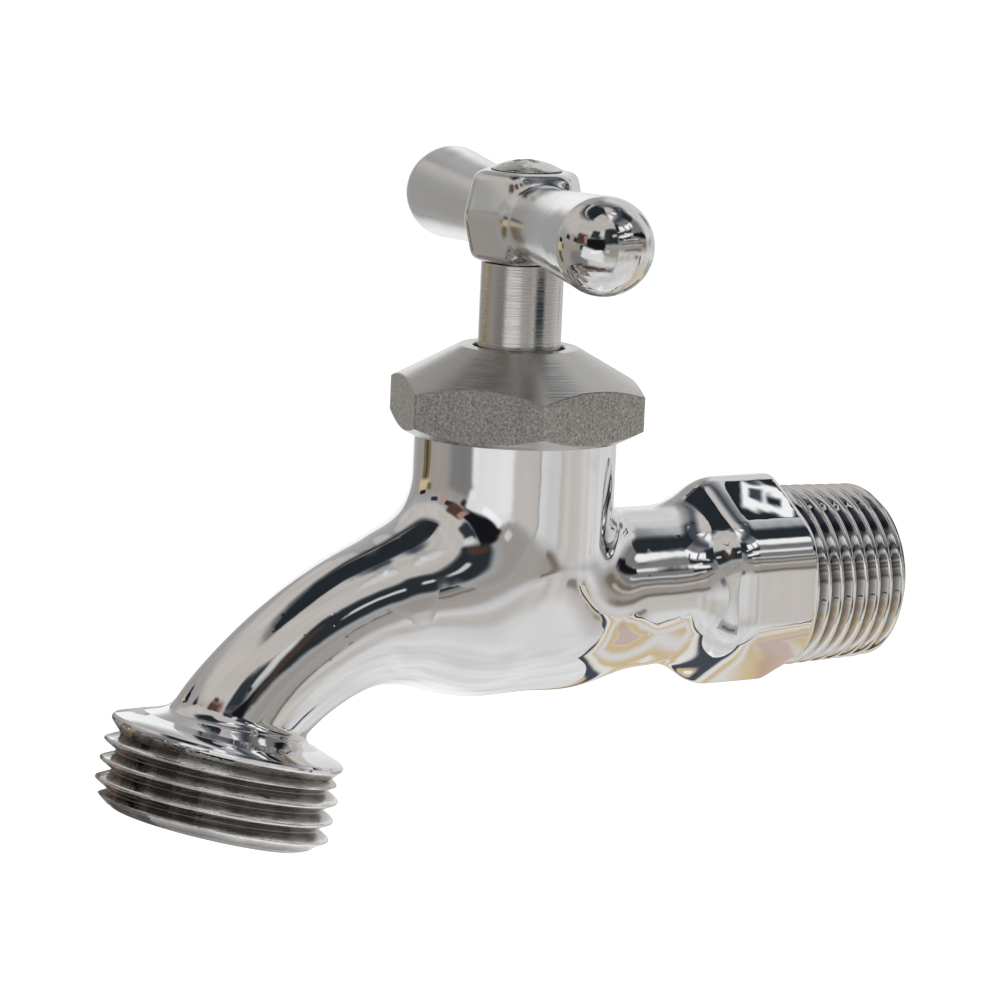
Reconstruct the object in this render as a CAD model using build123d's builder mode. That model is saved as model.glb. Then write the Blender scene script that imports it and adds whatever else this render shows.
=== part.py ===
from build123d import *
import math
import os

os.makedirs("parts", exist_ok=True)

# ---------------------------------------------------------------------------
# Laundry tap, millimetres, +Z up.
# Origin: centre of the inlet's end face. +Y points into the wall, the barrel
# runs along Y, the stem stands on Z at Y = STEM_Y, the spout leaves towards -Y.
# In the tables u is the distance from the stem axis towards the wall.
# ---------------------------------------------------------------------------
STEM_Y = -50.0          # stem axis to the inlet's end face

# inlet: 1/2-14 taper pipe thread
NPT_PITCH = 1.8143
NPT_R_END = 10.36       # crest radius at the small end
NPT_TAPER = 1 / 32      # radius gained per mm away from the end
NPT_DEPTH = 1.30
INLET_BORE_R = 6.9
INLET_BORE_L = 21.0

# wrench collar on the barrel
COLLAR_AF = 22.3        # across flats, corners up and down
COLLAR_START = 22.0
COLLAR_END = 36.3
BARREL_R = 9.15

# hose outlet: 3/4-11.5 hose thread, its axis leans back under the spout
HOSE_TILT = 13.26
HOSE_PITCH = 2.2087
HOSE_R = 13.46
HOSE_ROOT_R = 12.03
HOSE_REF = (-37.67, -20.96)   # u, z of the middle of the third crest
HOSE_END = 3.0                # end face past that crest, along the outlet
OUTLET_BORE_R = 8.6
OUTLET_BORE_L = 8.0
FLANGE_R = 13.2
FLANGE_W = -6.4

# neck and chamber
NECK_R = 11.65
NECK_SHOULDER = 18.6
NECK_TOP = 23.4
BELLY_Z = -10.93
CHAMBER_R = 8.4
FLOOR_Z = 3.0
SEAT_Z = 4.2
SEAT_R = 4.6
CAP_PITCH = 1.5
CAP_R = 11.0            # neck thread, 22 x 1.5
CAP_ROOT_R = 10.10

# stem and its coarse lifting thread
LIFT_PITCH = 2.5
STEM_R = 4.76
STEM_CORE_R = 6.5
STEM_THREAD_R = 7.55
LIFT_BORE_R = 6.85
LIFT_GROOVE_R = 7.85
FLANK_GAP = 0.18
STEM_BOTTOM = 8.35
SQUARE = 6.4            # handle square, across flats

# cap nut
NUT_CORNER_R = 15.27
NUT_TURN = -20.4        # one corner, degrees from +X
NUT_BOTTOM = 18.85
NUT_TOP = 28.94
NUT_RIM_R = 6.86
NUT_HOLE_R = 5.26

# handle
BAR_Z = 43.56
BAR_TURN = -13.35       # bar direction, degrees from +X
BALL_R = 5.5
BALL_S = 26.4           # ball centre from the stem axis
ARM_R = 4.15            # at the hub
HUB_R = 7.5             # hexagon corner radius at mid height
HUB_TIP_R = 6.3         # at its top and bottom
HUB_BOTTOM = 38.6
HUB_TOP = 49.0

# ---------------------------------------------------------------------------
# planes and axes
# ---------------------------------------------------------------------------
STEM_AXIS = Axis((0, STEM_Y, 0), (0, 0, 1))
BARREL_AXIS = Axis((0, STEM_Y, 0), (0, 1, 0))
tilt = math.radians(HOSE_TILT)
HOSE_O = Vector(0, STEM_Y + HOSE_REF[0], HOSE_REF[1])
HOSE_DIR = Vector(0, -math.sin(tilt), -math.cos(tilt))
HOSE_AXIS = Axis(HOSE_O, HOSE_DIR)

stem_section = Plane(origin=(0, STEM_Y, 0), x_dir=(1, 0, 0), z_dir=(0, -1, 0))      # x = radius, y = height
barrel_section = Plane(origin=(0, STEM_Y, 0), x_dir=(0, 1, 0), z_dir=(0, 0, 1))     # x = u, y = radius
hose_section = Plane(origin=HOSE_O, x_dir=HOSE_DIR, z_dir=(1, 0, 0))                # x = along outlet, y = radius


def ridge(frame, pitch, length, r_root, r_crest, w_root, w_crest, taper=0.0, foot=0.35):
    """One helical thread ridge, trapezoid in section, right-handed along the frame's z."""
    h = r_crest - r_root
    sunk = 0.12                                        # the flanks run on below the root surface
    w_sunk = w_root + sunk * (w_root - w_crest) / h
    with BuildPart() as thread:
        with BuildLine() as path:
            Helix(pitch, length, r_root, center=frame.origin, direction=frame.z_dir, cone_angle=taper)
        start = path.edge() @ 0
        out = start - frame.origin
        out = out - frame.z_dir * out.dot(frame.z_dir)
        with BuildSketch(Plane(origin=start, x_dir=out, z_dir=path.edge() % 0)):
            with BuildLine():
                Polyline((-foot, -w_sunk / 2), (-sunk, -w_sunk / 2), (h, -w_crest / 2),
                         (h, w_crest / 2), (-sunk, w_sunk / 2), (-foot, w_sunk / 2), close=True)
            make_face()
        sweep(path=path.line, is_frenet=True)
    return thread.part


# ---------------------------------------------------------------------------
# body: one casting
# ---------------------------------------------------------------------------
# spout stations: u, z, radius
SPOUT = [(-1.05, -0.3, 9.3), (-9.55, 0.13, 9.5), (-12.77, 0.07, 9.28), (-15.45, -0.4, 8.74),
         (-19.24, -1.19, 8.0), (-24.85, -3.61, 7.34), (-28.37, -5.88, 7.1), (-31.87, -8.73, 7.02),
         (-34.71, -11.89, 7.18), (-36.29, -15.12, 7.66)]

with BuildPart() as spout:
    with BuildLine() as spout_line:
        Spline(*[(0, STEM_Y + u, z) for u, z, r in SPOUT], tangents=((0, -1, 0), HOSE_DIR))
    for u, z, r in SPOUT:
        t = spout_line.edge().param_at_point(Vector(0, STEM_Y + u, z))
        with BuildSketch(Plane(origin=spout_line.edge() @ t, x_dir=(1, 0, 0), z_dir=spout_line.edge() % t)):
            Circle(r)
    sweep(path=spout_line.line, multisection=True)

# neck, chamber and rounded belly
with BuildPart() as neck:
    with BuildSketch(stem_section):
        with BuildLine():
            Polyline((3.65, BELLY_Z), (0, BELLY_Z), (0, NECK_SHOULDER), (NECK_R - 0.25, NECK_SHOULDER),
                     (NECK_R, NECK_SHOULDER - 0.25), (NECK_R, BELLY_Z + 8))
            CenterArc((3.65, BELLY_Z + 8), 8, -90, 90)
        make_face()
    revolve(axis=STEM_AXIS)

# barrel from the chamber to the inlet's root
with BuildPart() as barrel:
    with BuildSketch(barrel_section):
        with BuildLine():
            Polyline((0, 10.2), (0, 0), (COLLAR_END + 1, 0), (COLLAR_END + 1, 9.0), (COLLAR_START + 1, BARREL_R),
                     (18, 9.28))
            Spline((18, 9.28), (12, 9.75), (6, 10.1), (0, 10.2), tangents=((-1, 0.02), (-1, 0)))
        make_face()
    revolve(axis=BARREL_AXIS)

# flange above the hose thread, coned towards the spout
with BuildPart() as flange:
    with BuildSketch(hose_section):
        with BuildLine():
            Polyline((-9.3, 0), (-9.24, 6.0), (FLANGE_W - 0.25, FLANGE_R - 0.25), (FLANGE_W + 0.1, FLANGE_R),
                     (FLANGE_W + 0.35, FLANGE_R - 0.2), (FLANGE_W + 1.4, HOSE_ROOT_R - 0.4), (FLANGE_W + 1.4, 0),
                     (-9.3, 0))
        make_face()
    revolve(axis=HOSE_AXIS)

with BuildPart() as junction:
    add(neck.part)
    add(barrel.part)
    add(spout.part)
    crossings = [e for e in junction.edges()
                 if e.geom_type == GeomType.BSPLINE and e.length > 2 and e.center().Z < 15
                 and 3 < abs(e.center().Y - STEM_Y) < 14]
    fillet(crossings, 9.0)
    add(flange.part)
    ring = [e for e in junction.edges() if e.length > 30 and (e.center() - HOSE_O).dot(HOSE_DIR) < FLANGE_W - 0.5
            and (e.center() - HOSE_O).dot(HOSE_DIR) > -10.5]
    fillet(ring, 1.8)

# wrench collar: flared round, cut by six flats with soft corners
with BuildPart() as collar:
    with BuildSketch(barrel_section):
        with BuildLine():
            Spline((COLLAR_START, BARREL_R - 0.1), (23.15, 10.2), (24.5, 11.1), (26.3, 11.95), (27.9, 12.38),
                   (29.8, 12.56), tangents=((1, 0.95), (1, 0)))
            Polyline((29.8, 12.56), (COLLAR_END - 0.9, 12.56), (COLLAR_END, 11.7), (COLLAR_END, 0),
                     (COLLAR_START, 0), (COLLAR_START, BARREL_R - 0.1))
        make_face()
    revolve(axis=BARREL_AXIS)
    with BuildSketch(Plane(origin=(0, STEM_Y + COLLAR_START - 2, 0), x_dir=(1, 0, 0), z_dir=(0, 1, 0))):
        with BuildLine() as hexagon:
            corner = COLLAR_AF / 2 / math.cos(math.radians(30))
            Polyline(*[(corner * math.cos(math.radians(30 + 60 * k)), corner * math.sin(math.radians(30 + 60 * k)))
                       for k in range(6)], close=True)
        face = make_face()
        fillet([v for v in face.vertices() if abs(v.X) < 1], 2.5)
        fillet([v for v in face.vertices() if abs(v.X) > 9], 4.5)
    extrude(amount=COLLAR_END + 6 - COLLAR_START, mode=Mode.INTERSECT)

# taper pipe thread, its root cone and the chamfered end
inlet_frame = Plane(origin=(0, STEM_Y + 34.0, 0), x_dir=(0, 0, 1), z_dir=(0, 1, 0))
npt_root_at_34 = NPT_R_END + 16 * NPT_TAPER - NPT_DEPTH
with BuildPart() as inlet_end:
    with BuildSketch(barrel_section):
        with BuildLine():
            Polyline((33.0, 0), (33.0, npt_root_at_34 + NPT_TAPER), (54.0, npt_root_at_34 - 20 * NPT_TAPER), (54.0, 0),
                     close=True)
        make_face()
    revolve(axis=BARREL_AXIS)
    add(ridge(inlet_frame, NPT_PITCH, 18.0, npt_root_at_34, npt_root_at_34 + NPT_DEPTH,
              NPT_PITCH - 0.22, 0.26, taper=-math.degrees(math.atan(NPT_TAPER))))
    with BuildSketch(barrel_section):
        with BuildLine():
            Polyline((33.2, 0), (33.2, NPT_R_END + 1.2), (48.6, NPT_R_END + 1.2), (50.0, NPT_R_END - 0.9), (50.0, 0),
                     close=True)
        make_face()
    revolve(axis=BARREL_AXIS, mode=Mode.INTERSECT)

# hose outlet's threaded end
hose_frame = Plane(origin=HOSE_O + HOSE_DIR * (-3 * HOSE_PITCH + 0.55), x_dir=(1, 0, 0), z_dir=HOSE_DIR)
with BuildPart() as hose_end:
    with BuildSketch(hose_section):
        with BuildLine():
            Polyline((-7.3, 0), (-7.3, HOSE_ROOT_R), (HOSE_END + 4, HOSE_ROOT_R), (HOSE_END + 4, 0), close=True)
        make_face()
    revolve(axis=HOSE_AXIS)
    add(ridge(hose_frame, HOSE_PITCH, 4.6 * HOSE_PITCH, HOSE_ROOT_R, HOSE_R, HOSE_PITCH - 0.35, 0.29))
    with BuildSketch(hose_section):
        with BuildLine():
            Polyline((-7.0, 0), (-7.0, 11.5), (-6.3, 12.3), (-5.1, HOSE_R + 0.4), (HOSE_END - 1.9, HOSE_R + 0.4),
                     (HOSE_END - 0.5, 11.9), (HOSE_END, 11.1), (HOSE_END, 0), close=True)
        make_face()
    revolve(axis=HOSE_AXIS, mode=Mode.INTERSECT)

# neck thread for the cap nut
cap_frame = Plane(origin=(0, STEM_Y, NECK_SHOULDER - 2.0), x_dir=(1, 0, 0), z_dir=(0, 0, 1))
with BuildPart() as neck_end:
    with BuildSketch(stem_section):
        with BuildLine():
            Polyline((0, 14.0), (CAP_ROOT_R, 14.0), (CAP_ROOT_R, 26.0), (0, 26.0), close=True)
        make_face()
    revolve(axis=STEM_AXIS)
    add(ridge(cap_frame, CAP_PITCH, 8.0, CAP_ROOT_R, CAP_R, CAP_PITCH - 0.38, 0.20))
    with BuildSketch(stem_section):
        with BuildLine():
            Polyline((0, 14.5), (CAP_R + 0.4, 14.5), (CAP_R + 0.4, NECK_TOP - 1.6), (CAP_ROOT_R - 0.4, NECK_TOP),
                     (0, NECK_TOP), close=True)
        make_face()
    revolve(axis=STEM_AXIS, mode=Mode.INTERSECT)

# waterway cores
WAY = [(-4.0, 6.2, 3.1), (-9.0, 3.6, 4.8), (-14.0, 0.6, 5.4), (-19.24, -1.9, 5.4), (-24.85, -4.1, 5.3),
       (-31.87, -8.9, 5.2), (-36.0, -14.4, 5.2)]
way_end = (HOSE_REF[0] + 4.6 * math.sin(tilt), HOSE_REF[1] + 4.6 * math.cos(tilt))
with BuildPart() as spout_way:
    pts = [(0, STEM_Y + u, z) for u, z, r in WAY]
    with BuildLine() as way_line:
        Spline(*pts, (0, STEM_Y + way_end[0], way_end[1]), tangents=((0, -0.8, -0.35), HOSE_DIR))
    for u, z, r in WAY + [(way_end[0], way_end[1], 5.2)]:
        t = way_line.edge().param_at_point(Vector(0, STEM_Y + u, z))
        with BuildSketch(Plane(origin=way_line.edge() @ t, x_dir=(1, 0, 0), z_dir=way_line.edge() % t)):
            Circle(r)
    sweep(path=way_line.line, multisection=True)

with BuildPart() as outlet_way:
    with BuildSketch(hose_section):
        with BuildLine():
            Polyline((HOSE_END - OUTLET_BORE_L - 1.5, 0), (HOSE_END - OUTLET_BORE_L - 1.5, 6.4),
                     (HOSE_END - OUTLET_BORE_L, OUTLET_BORE_R), (HOSE_END + 1, OUTLET_BORE_R), (HOSE_END + 1, 0),
                     close=True)
        make_face()
    revolve(axis=HOSE_AXIS)

with BuildPart() as inlet_way:
    with BuildSketch(barrel_section):
        with BuildLine():
            Polyline((50 - INLET_BORE_L, 0), (50 - INLET_BORE_L, INLET_BORE_R), (51, INLET_BORE_R), (51, 0), close=True)
        make_face()
    revolve(axis=BARREL_AXIS)
with BuildPart() as under_way:
    with BuildSketch(Plane(origin=(0, STEM_Y + 50 - INLET_BORE_L + 0.5, 0), x_dir=(1, 0, 0), z_dir=(0, -1, 0))):
        Circle(INLET_BORE_R - 0.7)
    with BuildSketch(Plane(origin=(0, STEM_Y + 13.0, -2.9), x_dir=(1, 0, 0), z_dir=(0, -1, 0))):
        Circle(4.4)
    loft()
    with BuildSketch(Plane(origin=(0, STEM_Y + 13.6, -2.9), x_dir=(1, 0, 0), z_dir=(0, -1, 0))):
        Circle(4.2)
    extrude(amount=13.6)
with BuildPart() as seat_way:
    with BuildSketch(stem_section):
        with BuildLine():
            Polyline((0, -7.3), (3.2, -7.3), (SEAT_R, -5.6), (SEAT_R, SEAT_Z + 1), (0, SEAT_Z + 1), close=True)
        make_face()
    revolve(axis=STEM_AXIS)
with BuildPart() as chamber:
    with BuildSketch(stem_section):
        with BuildLine():
            # the raised ring inside is the seat
            Polyline((0, SEAT_Z), (SEAT_R + 0.9, SEAT_Z), (SEAT_R + 1.7, FLOOR_Z), (CHAMBER_R - 0.8, FLOOR_Z),
                     (CHAMBER_R, FLOOR_Z + 0.8), (CHAMBER_R, 10.2), (LIFT_BORE_R - 0.45, 12.0), (0, 12.0), close=True)
        make_face()
    revolve(axis=STEM_AXIS)

lift_frame = Plane(origin=(0, STEM_Y, 7.0), x_dir=(1, 0, 0), z_dir=(0, 0, 1))
STEM_ROOT_W = 1.35
STEM_TIP_W = 0.75
slope = (STEM_ROOT_W - STEM_TIP_W) / (STEM_THREAD_R - STEM_CORE_R)
groove_w0 = STEM_ROOT_W - slope * (LIFT_BORE_R - STEM_CORE_R) + 2 * FLANK_GAP
groove_w1 = groove_w0 - slope * (LIFT_GROOVE_R - LIFT_BORE_R)
with BuildPart() as lift_way:
    with BuildSketch(stem_section):
        with BuildLine():
            Polyline((0, 9.0), (LIFT_BORE_R, 9.0), (LIFT_BORE_R, 27.0), (0, 27.0), close=True)
        make_face()
    revolve(axis=STEM_AXIS)
    add(ridge(lift_frame, LIFT_PITCH, 8 * LIFT_PITCH, LIFT_BORE_R, LIFT_GROOVE_R, groove_w0, groove_w1, foot=0.25))
    with BuildSketch(stem_section):
        with BuildLine():
            Polyline((0, 9.4), (LIFT_GROOVE_R + 0.3, 9.4), (LIFT_GROOVE_R + 0.3, NECK_TOP + 0.8), (0, NECK_TOP + 0.8),
                     close=True)
        make_face()
    revolve(axis=STEM_AXIS, mode=Mode.INTERSECT)

with BuildPart() as body:
    add(junction.part)
    add(collar.part)
    add(inlet_end.part)
    add(hose_end.part)
    add(neck_end.part)
    add(inlet_way.part, mode=Mode.SUBTRACT)
    add(under_way.part, mode=Mode.SUBTRACT)
    add(seat_way.part, mode=Mode.SUBTRACT)
    add(chamber.part, mode=Mode.SUBTRACT)
    add(spout_way.part, mode=Mode.SUBTRACT)
    add(outlet_way.part, mode=Mode.SUBTRACT)
    add(lift_way.part, mode=Mode.SUBTRACT)

body.part.label = "body"
export_step(body.part, "parts/body.step")

# ---------------------------------------------------------------------------
# cap nut and what it holds
# ---------------------------------------------------------------------------
nut_turn = math.radians(NUT_TURN)
cone = (28.94 - 24.29) / (NUT_CORNER_R - NUT_RIM_R)      # rise of the coned top per mm of radius
under = (20.36 - 18.85) / (NUT_CORNER_R - 12.55)         # rise of the chamfer underneath
NUT_THREAD_R = CAP_ROOT_R + 0.18                         # bore between the grooves
NUT_GROOVE_R = CAP_R + 0.2
cap_slope = (CAP_PITCH - 0.38 - 0.20) / (CAP_R - CAP_ROOT_R)
cap_w0 = CAP_PITCH - 0.38 - cap_slope * (NUT_THREAD_R - CAP_ROOT_R) + 0.30
cap_w1 = cap_w0 - cap_slope * (NUT_GROOVE_R - NUT_THREAD_R)
with BuildPart() as nut_way:
    with BuildSketch(stem_section):
        with BuildLine():
            Polyline((0, 15.0), (NUT_THREAD_R, 15.0), (NUT_THREAD_R, 26.0), (0, 26.0), close=True)
        make_face()
    revolve(axis=STEM_AXIS)
    add(ridge(cap_frame, CAP_PITCH, 7.5, NUT_THREAD_R, NUT_GROOVE_R, cap_w0, cap_w1, foot=0.25))
    with BuildSketch(stem_section):
        with BuildLine():
            Polyline((0, NUT_BOTTOM - 1), (NUT_GROOVE_R + 0.4, NUT_BOTTOM - 1), (NUT_GROOVE_R + 0.4, 23.6), (0, 23.6),
                     close=True)
        make_face()
    revolve(axis=STEM_AXIS, mode=Mode.INTERSECT)

with BuildPart() as cap_nut:
    with BuildSketch(Plane(origin=(0, STEM_Y, NUT_BOTTOM), x_dir=(math.cos(nut_turn), math.sin(nut_turn), 0),
                           z_dir=(0, 0, 1))):
        RegularPolygon(radius=NUT_CORNER_R, side_count=6)
    extrude(amount=NUT_TOP - NUT_BOTTOM + 1)
    with BuildSketch(stem_section):
        with BuildLine():
            Polyline((0, NUT_BOTTOM), (12.55, NUT_BOTTOM), (NUT_CORNER_R + 0.3, 20.36 + 0.3 * under),
                     (NUT_CORNER_R + 0.3, 24.29 - 0.3 * cone), (NUT_RIM_R, NUT_TOP), (0, NUT_TOP), close=True)
        make_face()
    revolve(axis=STEM_AXIS, mode=Mode.INTERSECT)
    add(nut_way.part, mode=Mode.SUBTRACT)
    with BuildSketch(stem_section):
        with BuildLine():
            Polyline((0, 22.9), (NUT_GROOVE_R + 0.15, 22.9), (NUT_GROOVE_R + 0.15, 24.4), (8.3, 24.4), (8.3, 25.8),
                     (NUT_HOLE_R, 27.4), (NUT_HOLE_R, NUT_TOP + 1), (0, NUT_TOP + 1), close=True)
        make_face()
    revolve(axis=STEM_AXIS, mode=Mode.SUBTRACT)
cap_nut.part.label = "cap_nut"
export_step(cap_nut.part, "parts/cap_nut.step")

with BuildPart() as cap_gasket:
    with BuildSketch(stem_section):
        with Locations((9.6, NECK_TOP + 0.5)):
            Rectangle(1.3, 1.0)
    revolve(axis=STEM_AXIS)
cap_gasket.part.label = "cap_gasket"
export_step(cap_gasket.part, "parts/cap_gasket.step")

with BuildPart() as packing_washer:
    with BuildSketch(stem_section):
        with Locations((6.9, NECK_TOP + 0.4)):
            Rectangle(3.9, 0.8)
    revolve(axis=STEM_AXIS)
packing_washer.part.label = "packing_washer"
export_step(packing_washer.part, "parts/packing_washer.step")

with BuildPart() as packing_ring:
    with BuildSketch(stem_section):
        with BuildLine():
            Polyline((STEM_R + 0.05, 24.2), (8.25, 24.2), (8.25, 25.78), (5.3, 27.33), (STEM_R + 0.05, 27.33), close=True)
        make_face()
    revolve(axis=STEM_AXIS)
packing_ring.part.label = "packing_ring"
export_step(packing_ring.part, "parts/packing_ring.step")

# ---------------------------------------------------------------------------
# stem: coarse thread below, packing length, square for the handle
# ---------------------------------------------------------------------------
stem_frame = Plane(origin=(0, STEM_Y, 7.0 + LIFT_PITCH), x_dir=(1, 0, 0), z_dir=(0, 0, 1))
with BuildPart() as stem_thread:
    with BuildSketch(stem_section):
        with BuildLine():
            Polyline((0, 8.0), (STEM_CORE_R, 8.0), (STEM_CORE_R, 18.0), (0, 18.0), close=True)
        make_face()
    revolve(axis=STEM_AXIS)
    add(ridge(stem_frame, LIFT_PITCH, 3 * LIFT_PITCH, STEM_CORE_R, STEM_THREAD_R, STEM_ROOT_W, STEM_TIP_W, foot=0.4))
    with BuildSketch(stem_section):
        with BuildLine():
            Polyline((0, 9.5), (5.8, 9.5), (STEM_THREAD_R + 0.3, 10.6), (STEM_THREAD_R + 0.3, 15.8), (5.8, 16.9),
                     (0, 16.9), close=True)
        make_face()
    revolve(axis=STEM_AXIS, mode=Mode.INTERSECT)

with BuildPart() as stem:
    with BuildSketch(stem_section):
        with BuildLine():
            Polyline((0, STEM_BOTTOM), (5.3, STEM_BOTTOM), (5.6, STEM_BOTTOM + 0.3), (5.6, 16.0), (STEM_R, 17.3),
                     (STEM_R, HUB_BOTTOM - 0.35), (STEM_R - 0.35, HUB_BOTTOM), (0, HUB_BOTTOM), close=True)
        make_face()
    revolve(axis=STEM_AXIS)
    with BuildSketch(Plane(origin=(0, STEM_Y, HUB_BOTTOM),
                           x_dir=(math.cos(math.radians(BAR_TURN)), math.sin(math.radians(BAR_TURN)), 0),
                           z_dir=(0, 0, 1))):
        Rectangle(SQUARE, SQUARE)
        Circle(4.2, mode=Mode.INTERSECT)
    extrude(amount=7.9)
    add(stem_thread.part)
    with BuildSketch(stem_section):
        with BuildLine():
            # socket for the swivelling washer holder
            Polyline((0, STEM_BOTTOM - 1), (3.1, STEM_BOTTOM - 1), (3.1, STEM_BOTTOM), (2.7, STEM_BOTTOM + 0.4),
                     (2.7, 10.4), (3.45, 10.4), (3.45, 12.3), (2.6, 12.9), (0, 12.9), close=True)
        make_face()
    revolve(axis=STEM_AXIS, mode=Mode.SUBTRACT)
    with BuildSketch(stem_section):
        with BuildLine():
            Polyline((0, 37.4), (2.0, 38.6), (2.0, 47.5), (0, 47.5), close=True)
        make_face()
    revolve(axis=STEM_AXIS, mode=Mode.SUBTRACT)
stem.part.label = "stem"
export_step(stem.part, "parts/stem.step")

# ---------------------------------------------------------------------------
# washer holder, its rubber disc and screw
# ---------------------------------------------------------------------------
with BuildPart() as washer_holder:
    with BuildSketch(stem_section):
        with BuildLine():
            Polyline((1.55, 7.1), (6.25, 7.1), (6.25, 5.4), (6.65, 5.4), (6.65, 8.0), (6.35, 8.3), (2.6, 8.3),
                     (2.6, 10.55), (3.2, 10.55), (3.2, 11.3), (2.3, 12.5), (0, 12.5), (0, 11.0), (1.55, 10.4),
                     close=True)
        make_face()
    revolve(axis=STEM_AXIS)
washer_holder.part.label = "washer_holder"
export_step(washer_holder.part, "parts/washer_holder.step")

with BuildPart() as seat_washer:
    with BuildSketch(stem_section):
        with BuildLine():
            Polyline((1.65, 4.25), (5.75, 4.25), (6.15, 4.65), (6.15, 7.1), (1.65, 7.1), close=True)
        make_face()
    revolve(axis=STEM_AXIS)
seat_washer.part.label = "seat_washer"
export_step(seat_washer.part, "parts/seat_washer.step")

with BuildPart() as washer_screw:
    with BuildSketch(stem_section):
        with BuildLine():
            Polyline((0, 2.2), (1.9, 2.2), (2.7, 3.0), (2.7, 4.25), (1.5, 4.25), (1.5, 9.8), (1.1, 10.2), (0, 10.2),
                     close=True)
        make_face()
    revolve(axis=STEM_AXIS)
    with BuildSketch(Plane(origin=(0, STEM_Y, 2.2), x_dir=(1, 0, 0), z_dir=(0, 0, 1))):
        Rectangle(6.0, 0.9)
    extrude(amount=0.9, mode=Mode.SUBTRACT)
washer_screw.part.label = "washer_screw"
export_step(washer_screw.part, "parts/washer_screw.step")

# ---------------------------------------------------------------------------
# T-handle: hexagonal hub, two flared arms ending in balls
# ---------------------------------------------------------------------------
bar = math.radians(BAR_TURN)
BAR_DIR = Vector(math.cos(bar), math.sin(bar), 0)
BAR_AXIS = Axis((0, STEM_Y, BAR_Z), BAR_DIR)
bar_section = Plane(origin=(0, STEM_Y, BAR_Z), x_dir=BAR_DIR, z_dir=(math.sin(bar), -math.cos(bar), 0))
ARM_S = 6.5
ROOT_S = 7.5            # the flare at the arm's root ends here
reach = math.hypot(BALL_S - ARM_S, ARM_R)
lean = math.asin(BALL_R / reach) - math.atan2(ARM_R, BALL_S - ARM_S)      # the arm's cone, tangent to the ball
touch = (BALL_S - BALL_R * math.sin(lean), BALL_R * math.cos(lean))
root = (ROOT_S, ARM_R + (ROOT_S - ARM_S) * math.tan(lean))
mid = math.radians(90 + math.degrees(lean) - 47)
knee = (BALL_S + BALL_R * math.cos(mid), BALL_R * math.sin(mid))

with BuildPart() as hub:
    for z, r in ((HUB_BOTTOM, HUB_TIP_R), (BAR_Z, HUB_R), (HUB_TOP, HUB_TIP_R)):
        with BuildSketch(Plane(origin=(0, STEM_Y, z), x_dir=BAR_DIR, z_dir=(0, 0, 1))):
            RegularPolygon(radius=r, side_count=6, rotation=30)
    loft(ruled=True)
    sides = [e for e in hub.edges() if abs(e.tangent_at(0.5).Z) > 0.5]
    fillet(sides, 0.9)
    ends = [e for e in hub.edges() if abs(e.center().Z - HUB_TOP) < 0.01 or abs(e.center().Z - HUB_BOTTOM) < 0.01]
    fillet(ends, 0.7)

with BuildPart() as arms:
    with BuildSketch(bar_section):
        with BuildLine():
            ThreePointArc((-BALL_S - BALL_R, 0), (-knee[0], knee[1]), (-touch[0], touch[1]))
            Line((-touch[0], touch[1]), (-root[0], root[1]))
            Spline((-root[0], root[1]), (-5.4, 4.8), tangents=((math.cos(lean), -math.sin(lean)), (0.35, 1)))
            Line((-5.4, 4.8), (5.4, 4.8))
            Spline((5.4, 4.8), root, tangents=((0.35, -1), (math.cos(lean), math.sin(lean))))
            Line(root, touch)
            ThreePointArc(touch, knee, (BALL_S + BALL_R, 0))
            Line((BALL_S + BALL_R, 0), (-BALL_S - BALL_R, 0))
        make_face()
    revolve(axis=BAR_AXIS)

with BuildPart() as tee_handle:
    add(hub.part)
    add(arms.part)
    with BuildSketch(Plane(origin=(0, STEM_Y, HUB_BOTTOM - 0.5), x_dir=BAR_DIR, z_dir=(0, 0, 1))):
        Rectangle(SQUARE + 0.2, SQUARE + 0.2)
    extrude(amount=8.6, mode=Mode.SUBTRACT)
    with BuildSketch(Plane(origin=(0, STEM_Y, HUB_BOTTOM), x_dir=BAR_DIR, z_dir=(0, 0, 1))):
        Circle(2.2)
    extrude(amount=HUB_TOP - HUB_BOTTOM + 1, mode=Mode.SUBTRACT)
tee_handle.part.label = "tee_handle"
export_step(tee_handle.part, "parts/tee_handle.step")

# screw on top of the hub
with BuildPart() as handle_screw:
    with BuildSketch(stem_section):
        with BuildLine():
            Polyline((4.2, HUB_TOP + 0.3), (4.2, HUB_TOP), (1.95, HUB_TOP), (1.95, 39.9), (1.5, 39.4), (0, 39.4),
                     (0, HUB_TOP + 1.25))
            Spline((0, HUB_TOP + 1.25), (2.4, HUB_TOP + 1.0), (4.2, HUB_TOP + 0.3), tangents=((1, 0), (0.35, -1)))
        make_face()
    revolve(axis=STEM_AXIS)
    with BuildSketch(Plane(origin=(0, STEM_Y, HUB_TOP + 0.25), x_dir=BAR_DIR, z_dir=(0, 0, 1))):
        Rectangle(1.5, 0.5)
        Rectangle(0.5, 1.5)
    with BuildSketch(Plane(origin=(0, STEM_Y, HUB_TOP + 1.35), x_dir=BAR_DIR, z_dir=(0, 0, 1))):
        Rectangle(4.2, 0.95)
        Rectangle(0.95, 4.2)
    loft(mode=Mode.SUBTRACT)
handle_screw.part.label = "handle_screw"
export_step(handle_screw.part, "parts/handle_screw.step")
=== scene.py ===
import bpy
import math
import numpy as np
from mathutils import Matrix, Vector


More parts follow.
